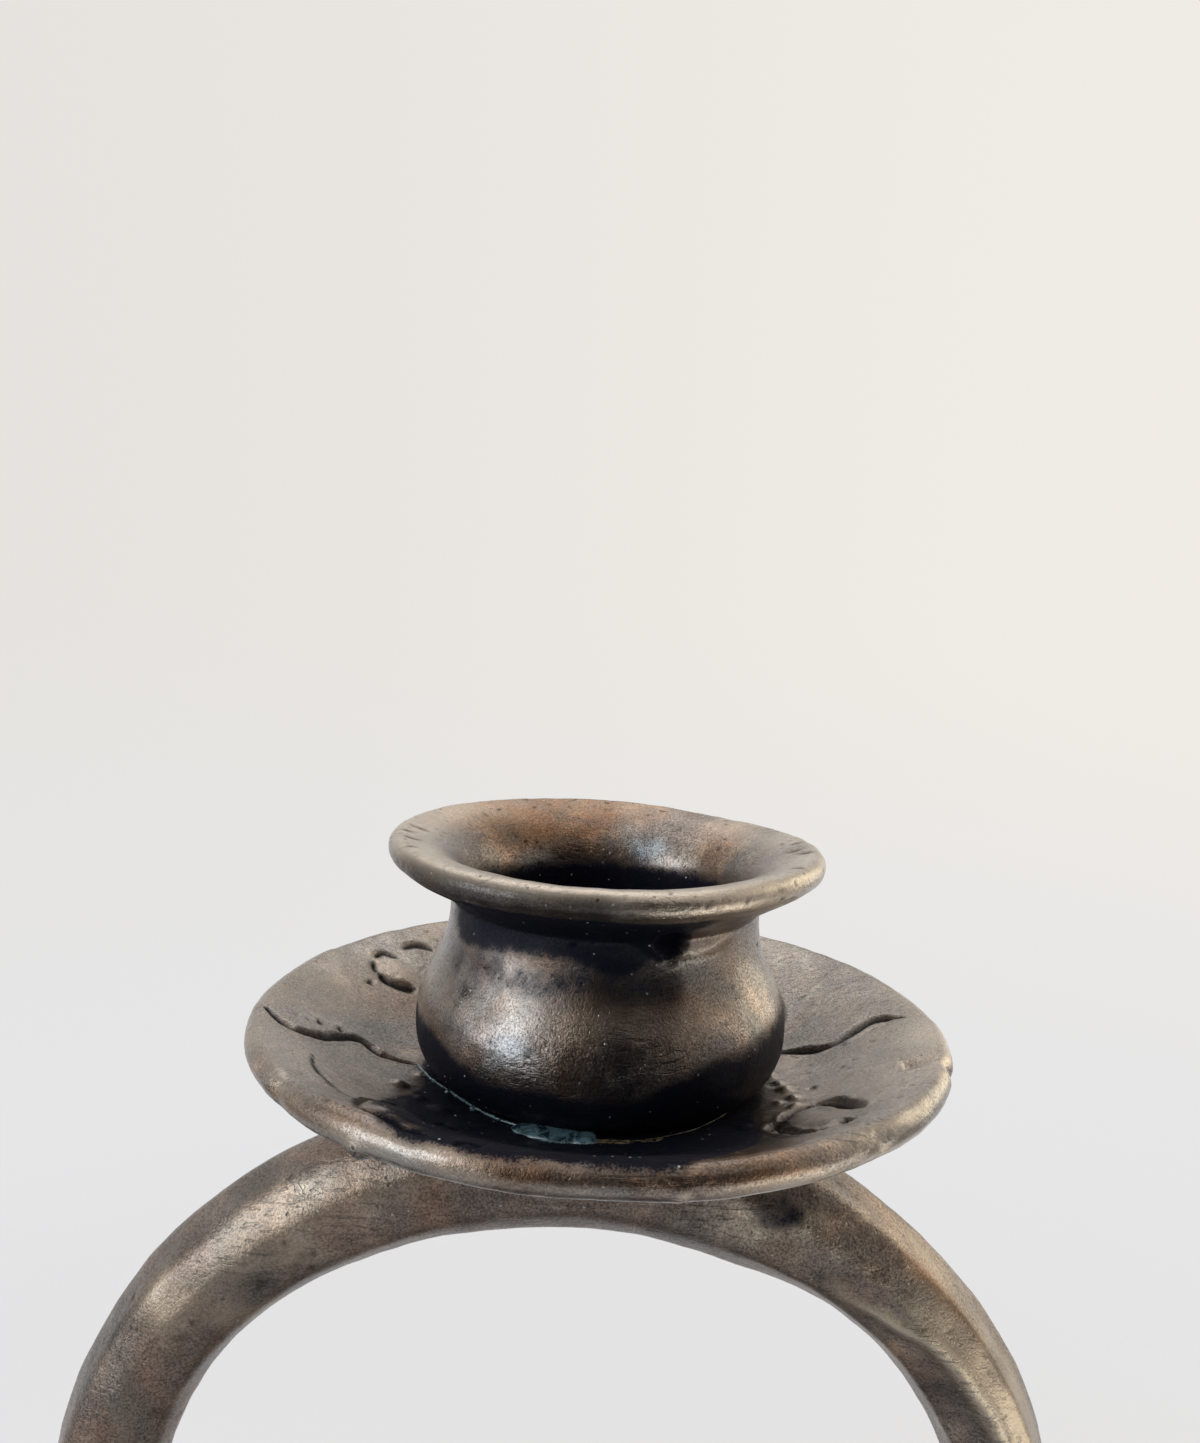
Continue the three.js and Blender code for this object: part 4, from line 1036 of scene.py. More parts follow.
def makeSeam(sizes):
    middle = boxMiddle("cup_center")
    upward = Vector((0, 0, 1))
    origin = Vector((middle.x, middle.y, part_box("cup_center")[0].z))
    for side, material in (("left", seamResidue), ("right", seamGilt)):
        trail = smoothLine(sizes[side], sizes["gap"])
        stations = []
        for k, point in enumerate(trail):
            ahead = (trail[min(k + 1, len(trail) - 1)] - trail[max(k - 1, 0)]).normalized()
            stations.append((origin + point + upward * sizes["lift"], upward.cross(ahead), upward))
        bm = rollBar(stations, sizes["sides"], beadRadius(sizes[side + "Radius"]))
        makePiece("seam_bead_" + side, bm, material)
    drops, smears = bmesh.new(), bmesh.new()
    for place, size, turn in sizes["drops"]:
        dropAt(drops, place, size, turn, origin)
    for place, size, turn in sizes["smears"]:
        dropAt(smears, place, size, turn, origin)
    makePiece("seam_drops_center", drops, seamResidue)
    makePiece("seam_smears_center", smears, seamGilt)


makeSeam(seamSizes)

# Hoop and side arms
hoopSizes = {
    "halfWidth": 41 * mm, "halfHeight": 35.65 * mm, "halfThickness": 4.7 * mm, "halfDepth": 4.8 * mm,
    "swell": 0.8 * mm, "filed": 0.8 * mm, "steps": 480, "around": 96, "ridge": 0.4 * mm,
}
hammering = {
    "cell": 5.2 * mm, "depth": 0.16 * mm, "pitDepth": 0.1 * mm,
    "skin": ((2.2 * mm, 0.05 * mm), (0.7 * mm, 0.018 * mm)),
}
# wear, painted highlights, painted shade and a painted shadow on the hoop; turns round its bar are radians
# from the outer side towards the front
hoopLook = {
    "ridgeTurn": 1.42, "ridgeDrift": 0.55, "ridgeHalf": 0.15, "ridgeWear": 0.9, "bandHighlight": 0.7,
    "bevelHighlight": 0.85, "darkSide": 0.17, "darkFace": 0.22, "patch": 0.75,
    "shadowPlace": (18 * mm, 197.6 * mm), "shadowHalf": (2 * mm, 1.5 * mm),
    "lumpDepth": 0.26 * mm, "lumpDirt": 0.6,
    "edgeTint": 0.45, "ridgeTint": 0.3, "slimInner": 0.7 * mm, "slimOuter": 0.45 * mm,
}


def hammerSkin(bm, seed, strength=1.0, wearShare=0.5):
    # shallow hammer marks with worn ridges between them
    wearAndHighlight, grooveAndShade = maskLayers(bm, "wearAndHighlight", "grooveAndShade")
    moves = []
    for vert in bm.verts:
        spot = vert.co
        warped = spot + Vector((wander(spot, 9 * mm, seed), wander(spot, 9 * mm, seed + 5), 0)) * (1.5 * mm)
        nearest = noise.voronoi(warped / hammering["cell"] + Vector((seed, 0, seed)))[0]
        ridge = nearest[0] * nearest[0]
        pits = scatteredPits(spot, 1.7 * mm, 0.25, seed, 6 * mm, 0.15)
        lift = hammering["depth"] * (ridge - 0.25) + ripples(spot, hammering["skin"], seed)
        lift -= hammering["pitDepth"] * pits
        moves.append((vert, vert.normal * (lift * strength)))
        blotch = 0.5 + 0.5 * wander(spot, 7 * mm, seed + 8)
        vert[wearAndHighlight] = min(1.0, wearShare * smoothStep(0.3, 0.75, ridge) * blotch)
        vert[grooveAndShade] = min(1.0, 0.8 * pits)
    moveAll(moves)


def ovalAt(sizes, middle, turn):
    # a point on the middle line of the hoop, and the way out from it
    across, up = math.cos(turn), math.sin(turn)
    centre = Vector((sizes["halfWidth"] * across, 0, middle + sizes["halfHeight"] * up))
    return centre, Vector((across / sizes["halfWidth"], 0, up / sizes["halfHeight"])).normalized()


def hoopWearAndLight(bm, sizes, look, middle):
    # painted highlights as bare metal along the left limb and beyond a ridge on the right limb, wear and a
    # painted highlight on that ridge, painted shade on the faces beside them, and a painted shadow under the
    # pan
    wearAndHighlight, grooveAndShade, shadeLayer, heatAndSheen = maskLayers(bm, "wearAndHighlight", "grooveAndShade", "paintedShade", "heatAndSheen")
    for vert in bm.verts:
        spot = vert.co
        along = math.atan2((spot.z - middle) / sizes["halfHeight"], spot.x / sizes["halfWidth"])
        centre, outward = ovalAt(sizes, middle, along)
        across = (spot - centre).dot(outward)
        turn = math.atan2(-spot.y, across)
        degrees = math.degrees(along)
        blotch = wander(spot, 6 * mm, 3.0)
        aboveFoot = smoothStep(-50, -20, degrees)
        right = smoothStep(68, 48, degrees) * aboveFoot
        left = smoothStep(98, 122, degrees) + smoothStep(-150, -175, degrees)
        ridgeTurn = look["ridgeTurn"] + look["ridgeDrift"] * smoothStep(34, 52, degrees)
        ridgeTurn += 0.08 * wander(spot, 3 * mm, 1.0)
        ridge = bump(turn, ridgeTurn, look["ridgeHalf"]) * smoothStep(56, 46, degrees) * aboveFoot
        # painted highlights: the outer bevel of the right limb and a band along the left limb
        bevel = smoothStep(52, 30, degrees) * aboveFoot * smoothStep(0.1, 0.5, turn)
        bevel *= smoothStep(ridgeTurn + 0.05, ridgeTurn - 0.05, turn)
        band = left * bump(turn, 1.25, 0.5) * (0.24 + 0.36 * bump(degrees, 118, 16) + 0.45 * blotch)
        lumps = left * bump(turn, 1.95, 0.35) * pitting(spot, 2.6 * mm, 0.5, 5.0)
        bareShare = vert[wearAndHighlight] + look["ridgeWear"] * ridge + look["bandHighlight"] * band
        bareShare += look["bevelHighlight"] * bevel * (0.9 + blotch)
        vert[wearAndHighlight] = min(1.0, max(0.0, bareShare))
        # painted shade on the faces beside them
        darkSide = left * (smoothStep(0.85, 0.6, abs(turn)) + smoothStep(1.6, 1.9, abs(turn)))
        darkFace = smoothStep(80, 60, degrees) * aboveFoot
        darkFace *= smoothStep(ridgeTurn + 0.05, ridgeTurn + 0.2, turn)
        # painted shadow of the pan, near the top of the right limb
        (patchX, patchZ), (halfX, halfZ) = look["shadowPlace"], look["shadowHalf"]
        patch = math.exp(-((spot.x - patchX) / halfX) ** 4 - ((spot.z - patchZ) / halfZ) ** 4)
        patch *= smoothStep(-1 * mm, -3 * mm, spot.y) * (0.75 + 0.5 * wander(spot, 1.2 * mm, 6.0))
        dark = look["darkSide"] * darkSide + look["darkFace"] * darkFace + look["patch"] * patch
        vert[shadeLayer] = min(0.9, dark)
        vert[grooveAndShade] = min(1.0, vert[grooveAndShade] + look["lumpDirt"] * lumps)
        # tints: orange on the right limb's outer edge, and a cool colour on the ridge's painted highlight
        outerEdge = bump(turn, 0.75, 0.2) * bump(degrees, 44, 12)
        vert[heatAndSheen] = look["edgeTint"] * outerEdge - look["ridgeTint"] * ridge
        slim = look["slimInner"] if across < 0 else look["slimOuter"]
        move = vert.normal * (sizes["ridge"] * ridge - look["lumpDepth"] * lumps)
        vert.co += move - outward * (slim * right * across / sizes["halfThickness"])


def makeHoop(sizes):
    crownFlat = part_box("hoop")[1].z
    middle = crownFlat + sizes["filed"] - (sizes["halfThickness"] + sizes["swell"]) - sizes["halfHeight"]
    stations = []
    for k in range(sizes["steps"] + 1):
        turn = math.tau * k / sizes["steps"]
        centre, outward = ovalAt(sizes, middle, turn)
        swell = sizes["swell"] * math.sin(turn) ** 2
        stations.append((centre, outward * (sizes["halfThickness"] + swell),
                         Vector((0, -1, 0)) * (sizes["halfDepth"] + swell)))

    def section(share, turn):
        # eight flats, turned and crisper on the right limb, each a little out of line
        place = Vector((math.cos(share * math.tau), math.sin(share * math.tau), 0))
        right = smoothStep(0.2, 0.9, place.x)
        left = smoothStep(-0.15, -0.8, place.x)
        twist = 0.08 * noise.noise(place * 2.1) + 0.38 * max(left, right)
        flats = [(way + 0.05 * noise.noise(place * 3 + Vector((0, 0, k * 2.7))),
                  reach + 0.025 * noise.noise(place * 4 + Vector((k * 3.1, 0, 5))))
                 for k, (way, reach) in enumerate(octagon(twist))]
        return softFacets(turn, flats, 15 + 22 * right)

    bm = rollBar(stations, sizes["around"], section, closed=True)
    hammerSkin(bm, 2.0)
    hoopWearAndLight(bm, sizes, hoopLook, middle)
    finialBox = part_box("finial_nut")
    finialLevel, footReach = finialBox[0].z, finialBox[1].x + 1.3 * mm
    for vert in bm.verts:
        vert.co.z = min(vert.co.z, crownFlat)
        if abs(vert.co.x) < footReach and finialLevel < vert.co.z < middle:
            vert.co.z = finialLevel
    makePiece("forged_hoop", bm, metals["forgedBronze"], "hoop")


armSizes = {
    "shoulder": 12.3 * mm, "level": 115 * mm, "reach": 108 * mm, "dip": 9 * mm, "top": 162.8 * mm,
    "rootHalf": 5.6 * mm, "tipHalf": 4.7 * mm, "lowShare": 0.48, "dipShare": 0.45,
    "sweepShare": 0.6, "riseShare": 0.55, "steps": 150, "around": 80,
}


def makeArm(side, sign, seed, sizes):
    lowLevel = sizes["level"] - sizes["dip"]
    lowReach = sizes["shoulder"] + (sizes["reach"] - sizes["shoulder"]) * sizes["lowShare"]
    dipPull = (lowReach - sizes["shoulder"]) * sizes["dipShare"]
    sweepPull = (sizes["reach"] - lowReach) * sizes["sweepShare"]
    risePull = (sizes["top"] - lowLevel) * sizes["riseShare"]
    spots = [Vector((x, 0, z)) for x, z in (
        (sizes["shoulder"], sizes["level"]), (sizes["shoulder"] + dipPull, sizes["level"]),
        (lowReach - dipPull, lowLevel), (lowReach, lowLevel), (lowReach + sweepPull, lowLevel),
        (sizes["reach"], sizes["top"] - risePull), (sizes["reach"], sizes["top"]))]
    trail = interpolate_bezier(*spots[0:4], sizes["steps"])
    trail += interpolate_bezier(*spots[3:7], sizes["steps"])[1:]
    stations = []
    for k, point in enumerate(trail):
        ahead = (trail[min(k + 1, len(trail) - 1)] - trail[max(k - 1, 0)]).normalized()
        half = sizes["rootHalf"] + (sizes["tipHalf"] - sizes["rootHalf"]) * k / (len(trail) - 1)
        centre = Vector((point.x * sign, 0, point.z))
        stations.append((centre, Vector((-ahead.z * sign, 0, ahead.x)) * half, Vector((0, -1, 0)) * half))

    def section(share, turn):
        twist = 0.08 * noise.noise(Vector((share * 5, seed, 0)))
        return softFacets(turn, octagon(twist), 15)

    bm = rollBar(stations, sizes["around"], section)
    hammerSkin(bm, seed)
    makePiece("forged_arm_" + side, bm, metals["forgedBronze"], "arm_" + side)


makeHoop(hoopSizes)
makeArm("right", 1, 5.0, armSizes)
makeArm("left", -1, 8.0, armSizes)
print("hoop and arms made")


# Turned pieces: outlines of radius and height, standing on zero
def ringOutline(outer, inner, height, rounding, gap=0.25 * mm):
    return tracePath((inner, 0), [
        ("coarse", (outer - rounding, 0)),
        ("arc", (outer - rounding, rounding), rounding, -math.pi / 2, 0),
        ("line", (outer, height - rounding)),
        ("arc", (outer - rounding, height - rounding), rounding, 0, math.pi / 2),
        ("coarse", (inner, height)),
        ("coarse", (inner, 0)),
    ], gap)


def ageSkin(bm, seed, ripple=0.03 * mm, wearShare=0.7):
    # small unevenness all over, and wear where the surface bends outwards
    wearAndHighlight, grooveAndShade = maskLayers(bm, "wearAndHighlight", "grooveAndShade")
    moves = []
    for vert in bm.verts:
        spot = vert.co
        ways = [(edge.other_vert(vert).co - spot).normalized() for edge in vert.link_edges]
        bend = sum(vert.normal.dot(way) for way in ways) / max(1, len(ways))
        rub = 0.7 + 0.5 * wander(spot, 4 * mm, seed)
        vert[wearAndHighlight] = min(1.0, wearShare * smoothStep(0.03, 0.3, -bend) * rub)
        vert[grooveAndShade] = min(1.0, 0.9 * smoothStep(0.03, 0.25, bend))
        lift = ripples(spot, ((3 * mm, ripple), (0.9 * mm, 0.4 * ripple)), seed)
        moves.append((vert, vert.normal * lift))
    moveAll(moves)


def makeTurned(node, name, outline, metal, seed, steps, ripple=0.03 * mm):
    bm = spinPath(outline, steps)
    ageSkin(bm, seed, ripple)
    middle = boxMiddle(node)
    shiftBy(bm, (middle.x, middle.y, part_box(node)[0].z))
    makePiece(name, bm, metals[metal], node)


seatSizes = {
    "height": 7 * mm, "topRadius": 9.5 * mm, "ringHeight": 1.6 * mm, "footRadius": 4.7 * mm,
    "hole": 2.3 * mm, "saddleRadius": 6.2 * mm, "saddleHeight": 2 * mm, "rounding": 0.4 * mm,
}


def seatOutline(sizes):
    top, ring, soft = sizes["height"], sizes["height"] - sizes["ringHeight"], sizes["rounding"]
    foot, reach = sizes["footRadius"], sizes["topRadius"]
    low = top - sizes["ringHeight"] * 1.5
    return tracePath((sizes["hole"], 0), [
        ("coarse", (foot, 0)),
        ("curve", (foot, low * 2 / 3), (foot + (reach - foot) / 3, low + (ring - low) / 3), (reach, ring)),
        ("arc", (reach - soft, ring + soft), soft, -math.pi / 3, 0),
        ("line", (reach, top - soft)),
        ("arc", (reach - soft, top - soft), soft, 0, math.pi / 2),
        ("coarse", (sizes["hole"], top)),
        ("coarse", (sizes["hole"], 0)),
    ], 0.2 * mm)


stemSizes = {
    "hole": 3.3 * mm, "collarHeight": 7 * mm, "collarRadius": 13 * mm, "collarTop": 9.6 * mm,
    "collarBand": 1.75 * mm, "shaftLength": 62 * mm, "shaftFoot": 8.6 * mm, "shaftHead": 6.8 * mm,
    "knopHeight": 16 * mm, "knopRadius": 12.5 * mm, "knopNeck": 7.6 * mm, "knopNeckHeight": 2.24 * mm,
    "rounding": 0.5 * mm, "shaftSteps": 90, "shaftAround": 160,
}


def collarOutline(sizes):
    band, soft, height = sizes["collarBand"], sizes["rounding"], sizes["collarHeight"]
    outer, top = sizes["collarRadius"], sizes["collarTop"]
    return tracePath((sizes["hole"], 0), [
        ("coarse", (outer - soft, 0)),
        ("arc", (outer - soft, soft), soft, -math.pi / 2, 0),
        ("line", (outer, band - soft)),
        ("arc", (outer - soft, band - soft), soft, 0, math.pi / 2),
        ("curve", (top + (outer - top) / 3, band), (top, band + (height - band) / 3), (top, height - soft)),
        ("arc", (top - soft, height - soft), soft, 0, math.pi / 2),
        ("coarse", (sizes["hole"], height)),
        ("coarse", (sizes["hole"], 0)),
    ], 0.25 * mm)


def knopOutline(sizes):
    neck, radius, height = sizes["knopNeckHeight"], sizes["knopRadius"], sizes["knopHeight"]
    slim, half = sizes["knopNeck"], sizes["knopHeight"] / 2
    full = (radius - slim) * 0.75
    rise = (half - neck) / 2
    return tracePath((sizes["hole"], 0), [
        ("coarse", (slim, 0)),
        ("line", (slim, neck)),
        ("curve", (slim + full, neck), (radius, half - rise), (radius, half)),
        ("curve", (radius, half + rise), (slim + full, height - neck), (slim, height - neck)),
        ("line", (slim, height)),
        ("coarse", (sizes["hole"], height)),
        ("coarse", (sizes["hole"], 0)),
    ], 0.3 * mm)


finialSizes = {
    "height": 38.5 * mm, "foot": 6.6 * mm, "bulb": 6 * mm, "waist": 4.4 * mm, "tip": 1.3 * mm,
    "threadDepth": 12 * mm, "hole": 3.3 * mm,
}


def finialOutline(sizes):
    height, bulb, tip = sizes["height"], sizes["bulb"], sizes["tip"]
    footTop, waistHeight, bulbTop, spireFoot = (height * share for share in (0.05, 0.14, 0.34, 0.45))
    tipCentre = height - tip
    tipLevel = tipCentre - tip * math.sin(math.pi / 4)
    rise = (bulbTop - waistHeight) * 0.15
    return tracePath((sizes["hole"], 0), [
        ("coarse", (sizes["foot"], 0)),
        ("line", (sizes["foot"], footTop)),
        ("curve", (sizes["foot"] - (sizes["foot"] - sizes["waist"]) * 2 / 3, footTop),
         (sizes["waist"], footTop + (waistHeight - footTop) / 3), (sizes["waist"], waistHeight)),
        ("curve", (bulb, waistHeight + rise), (bulb, bulbTop - rise), (bulb * 0.75, bulbTop)),
        ("curve", (bulb * 0.45, spireFoot), (tip, spireFoot + (tipLevel - spireFoot) * 0.45),
         (tip * math.cos(math.pi / 4), tipLevel)),
        ("arc", (0, tipCentre), tip, -math.pi / 4, math.pi / 2),
        ("coarse", (0, sizes["threadDepth"])),
        ("coarse", (sizes["hole"], sizes["threadDepth"])),
        ("coarse", (sizes["hole"], 0)),
    ], 0.22 * mm)


def makeShaft(sizes):
    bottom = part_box("stem_shaft")[0].z
    count = sizes["shaftSteps"]
    stations = []
    for k in range(count + 1):
        corner = sizes["shaftFoot"] + (sizes["shaftHead"] - sizes["shaftFoot"]) * k / count
        reach = corner * math.cos(math.pi / 8)
        centre = Vector((0, 0, bottom + sizes["shaftLength"] * k / count))
        stations.append((centre, Vector((1, 0, 0)) * reach, Vector((0, 1, 0)) * reach))
    flats = [(k * math.pi / 4, 1.0) for k in range(8)]
    bm = rollBar(stations, sizes["shaftAround"], lambda share, turn: softFacets(turn, flats, 60))
    hammerSkin(bm, 11.0, 0.45, 0.3)
    makePiece("faceted_shaft", bm, metals["forgedBronze"], "stem_shaft")


hubSizes = {
    "hole": 3.3 * mm, "radius": 13 * mm, "height": 20 * mm, "rounding": 2 * mm, "flat": 1 * mm,
    "pinHole": 1.5 * mm, "pinReach": 8.5 * mm, "pinRadius": 1.2 * mm, "pinHalf": 9.54 * mm,
    "clearance": 0.3 * mm, "gap": 0.4 * mm, "steps": 144, "saddleSteps": 40, "saddleArc": 1.0,
}


def turnedRod(radius, half, rounding, steps):
    # a solid rod along Z with rounded ends, its middle at zero
    outline = tracePath((0, -half), [
        ("coarse", (radius - rounding, -half)),
        ("arc", (radius - rounding, rounding - half), rounding, -math.pi / 2, 0),
        ("coarse", (radius, half - rounding)),
        ("arc", (radius - rounding, half - rounding), rounding, 0, math.pi / 2),
        ("coarse", (0, half)),
    ], 0.2 * mm)
    return spinPath(outline, steps)


def layAlongY(bm, offset):
    bmesh.ops.rotate(bm, verts=bm.verts, cent=(0, 0, 0), matrix=Matrix.Rotation(math.pi / 2, 3, "X"))
    return shiftBy(bm, offset)


def joinAll(parts):
    whole = bmesh.new()
    for part in parts:
        mesh = bpy.data.meshes.new("joining")
        part.to_mesh(mesh)
        whole.from_mesh(mesh)
        bpy.data.meshes.remove(mesh)
        part.free()
    return whole


def hoopFootTool(sizes):
    # the lower part of the hoop, grown by the clearance, to cut its seat in the hub
    grown = hoopSizes["halfThickness"] + hoopSizes["swell"] + sizes["clearance"]
    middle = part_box("hoop")[0].z - sizes["clearance"] + grown + hoopSizes["halfHeight"]
    stations = []
    for k in range(sizes["saddleSteps"] + 1):
        turn = -math.pi / 2 + (k / sizes["saddleSteps"] - 0.5) * sizes["saddleArc"]
        centre, outward = ovalAt(hoopSizes, middle, turn)
        stations.append((centre, outward * grown, Vector((0, -1, 0)) * (grown + 0.1 * mm)))
    return rollBar(stations, 48, lambda share, turn: softFacets(turn, octagon(), 13))


def makeHub(sizes):
    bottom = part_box("hub")[0].z
    height, reach, soft = sizes["height"], sizes["radius"], sizes["rounding"]
    bm = spinPath(tracePath((sizes["hole"], 0), [
        ("coarse", (reach - soft, 0)),
        ("curve", (reach - soft * 0.4, 0), (reach, soft * 0.4), (reach, soft)),
        ("line", (reach, height - soft)),
        ("curve", (reach, height - soft * 0.4), (reach - soft * 0.4, height), (reach - soft, height)),
        ("coarse", (sizes["hole"], height)),
        ("coarse", (sizes["hole"], 0)),
    ], sizes["gap"]), sizes["steps"])
    flatReach = reach - sizes["flat"]
    for vert in bm.verts:
        vert.co.x = max(-flatReach, min(flatReach, vert.co.x))
    shiftBy(bm, (0, 0, bottom))
    level = bottom + height / 2
    tools = [hoopFootTool(sizes)]
    for sign in (-1, 1):
        rod = turnedRod(sizes["pinHole"], reach * 1.5, 0.1 * mm, 32)
        tools.append(layAlongY(rod, (sign * sizes["pinReach"], 0, level)))
    bm = carve(bm, joinAll(tools), "hub")
    ageSkin(bm, 14.0, 0.02 * mm)
    makePiece("hub_block", bm, metals["castBronze"], "hub")
    for side, sign in (("right", 1), ("left", -1)):
        pin = turnedRod(sizes["pinRadius"], sizes["pinHalf"], 0.25 * mm, 40)
        ageSkin(pin, 15.0 + sign, 0.008 * mm)
        layAlongY(pin, (sign * sizes["pinReach"], 0, level))
        makePiece("cross_pin_" + side, pin, metals["zincSteel"], "arm_pin_" + side)


screwSizes = {
    "radius": 2 * mm, "head": 4 * mm, "headHeight": 2.4 * mm, "rounding": 0.5 * mm, "slotWidth": 1 * mm,
    "slotDepth": 1.2 * mm, "washerRadius": 6 * mm, "washerHeight": 1 * mm, "washerHole": 2.3 * mm,
    "washerSoft": 0.25 * mm, "gap": 0.3 * mm, "steps": 64,
}


def makeScrew(side, sizes):
    low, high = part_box("cup_screw_" + side)
    top, soft = high.z - low.z, sizes["rounding"]
    underHead = top - sizes["headHeight"]
    bm = spinPath(tracePath((0, 0), [
        ("coarse", (sizes["radius"], 0)),
        ("coarse", (sizes["radius"], underHead)),
        ("coarse", (sizes["head"], underHead)),
        ("line", (sizes["head"], top - soft)),
        ("arc", (sizes["head"] - soft, top - soft), soft, 0, math.pi / 2),
        ("coarse", (0, top)),
    ], sizes["gap"]), sizes["steps"])
    slot = bmesh.new()
    bmesh.ops.create_cube(slot, size=1)
    slotSize = (sizes["head"] * 3, sizes["slotWidth"], sizes["slotDepth"] * 2)
    bmesh.ops.scale(slot, vec=slotSize, verts=slot.verts)
    shiftBy(slot, (0, 0, top))
    bm = carve(bm, slot, "slot")
    ageSkin(bm, 17.0, 0.01 * mm, 0.4)
    middle = (low + high) / 2
    shiftBy(bm, (middle.x, middle.y, low.z))
    makePiece("slotted_screw_" + side, bm, metals["agedBrass"], "cup_screw_" + side)


washer = ringOutline(screwSizes["washerRadius"], screwSizes["washerHole"], screwSizes["washerHeight"],
                     screwSizes["washerSoft"])
for number, side in enumerate(("center", "right", "left")):
    makeScrew(side, screwSizes)
    makeTurned("cup_washer_" + side, "brass_washer_" + side, washer, "agedBrass", 20.0 + number,
               96, 0.01 * mm)
saddle = ringOutline(seatSizes["saddleRadius"], seatSizes["hole"], seatSizes["saddleHeight"],
                     seatSizes["rounding"])
for node, name, outline, seed, steps in (
        ("saddle_center", "saddle_ring", saddle, 23.0, 160),
        ("seat_right", "trumpet_seat_right", seatOutline(seatSizes), 24.0, 160),
        ("seat_left", "trumpet_seat_left", seatOutline(seatSizes), 25.0, 160),
        ("foot_collar", "foot_ring", collarOutline(stemSizes), 26.0, 160),
        ("stem_knop", "round_knop", knopOutline(stemSizes), 27.0, 200),
        ("finial_nut", "tall_finial", finialOutline(finialSizes), 28.0, 160)):
    makeTurned(node, name, outline, "turnedBronze", seed, steps)
makeShaft(stemSizes)
makeHub(hubSizes)
print("stem and fastenings made")

# Base and what is under it
baseSizes = {
    "felt": 1.5 * mm, "feltInset": 1.5 * mm, "radius": 68 * mm, "height": 20 * mm, "edge": 4.8 * mm,
    "rimWidth": 20 * mm, "channelDepth": 1.4 * mm, "channelReach": 12 * mm, "web": 7 * mm, "boss": 15 * mm,
    "bossFootMargin": 6 * mm, "webRadius": 12 * mm, "hole": 3.3 * mm, "washer": 9 * mm,
    "washerHeight": 1.6 * mm, "nutHalfFlat": 5 * mm, "nutHeight": 5 * mm, "nutBevel": 0.4 * mm,
    "rod": 3 * mm, "bossSoft": 0.5 * mm, "gap": 0.6 * mm, "steps": 400, "feltSteps": 480, "fuzz": 0.25 * mm,
}
# thread at the lower end of the tie rod, half sizes of its wire
threadSizes = {
    "pitch": 0.8 * mm, "turns": 9, "perTurn": 40, "start": 0.7 * mm, "across": 0.28 * mm, "along": 0.32 * mm,
    "runOut": 30, "around": 10,
}


def baseOutline(sizes):
    half = sizes["edge"] / 2
    felt, height, soft = sizes["felt"], sizes["height"], sizes["bossSoft"]
    edgeCentre, edgeTop = sizes["radius"] - half, felt + sizes["edge"]
    rimInner = sizes["radius"] - sizes["rimWidth"]
    boss, bossFoot = sizes["boss"], sizes["boss"] + sizes["bossFootMargin"]
    channel, low = sizes["radius"] - sizes["channelReach"], edgeTop - sizes["channelDepth"]
    rise, width, web = height - low, channel - bossFoot, height - sizes["web"]
    bossKnot = low + rise * 0.8
    return tracePath((rimInner, felt), [
        ("coarse", (edgeCentre, felt)),
        ("arc", (edgeCentre, felt + half), half, -math.pi / 2, math.pi / 2),
        ("curve", (edgeCentre + (channel - edgeCentre) / 4, edgeTop),
         (channel + (edgeCentre - channel) / 4, low), (channel, low)),
        ("curve", (channel - width * 0.4, low), (bossFoot + width * 0.4, low + rise * 0.28),
         (bossFoot, low + rise * 0.66)),
        ("curve", (bossFoot + (boss - bossFoot) * 2 / 3, low + rise * (0.66 + 0.14 * 2 / 3)),
         (boss, bossKnot + (height - bossKnot) / 3), (boss, height - soft)),
        ("arc", (boss - soft, height - soft), soft, 0, math.pi / 2),
        ("coarse", (sizes["hole"], height)),
        ("coarse", (sizes["hole"], web)),
        ("coarse", (sizes["webRadius"], web)),
        ("curve", (sizes["webRadius"] + sizes["web"], web), (rimInner * 0.8, low), (rimInner, felt)),
    ], sizes["gap"])


def makeBase(sizes):
    bm = spinPath(baseOutline(sizes), sizes["steps"])
    ageSkin(bm, 31.0, 0.05 * mm)
    hammerSkin(bm, 32.0, 0.5, 0.35)
    for vert in bm.verts:
        vert.co.z = max(vert.co.z, sizes["felt"])
    makePiece("domed_base", bm, metals["castBronze"], "base")


def makeFeltPad(sizes):
    inner = sizes["radius"] - sizes["rimWidth"] + sizes["feltInset"]
    outer = sizes["radius"] - sizes["edge"] / 2 - sizes["feltInset"]
    bm = spinPath(ringOutline(outer, inner, sizes["felt"], 0.3 * mm, 0.3 * mm), sizes["feltSteps"])
    for vert in bm.verts:
        if 0.2 * mm < vert.co.z < sizes["felt"] - 0.2 * mm:
            outward = Vector((vert.co.x, vert.co.y, 0)).normalized()
            vert.co += outward * (sizes["fuzz"] * wander(vert.co, 1.2 * mm, 3.0))
    makePiece("felt_pad", bm, woolFelt, "felt_ring")


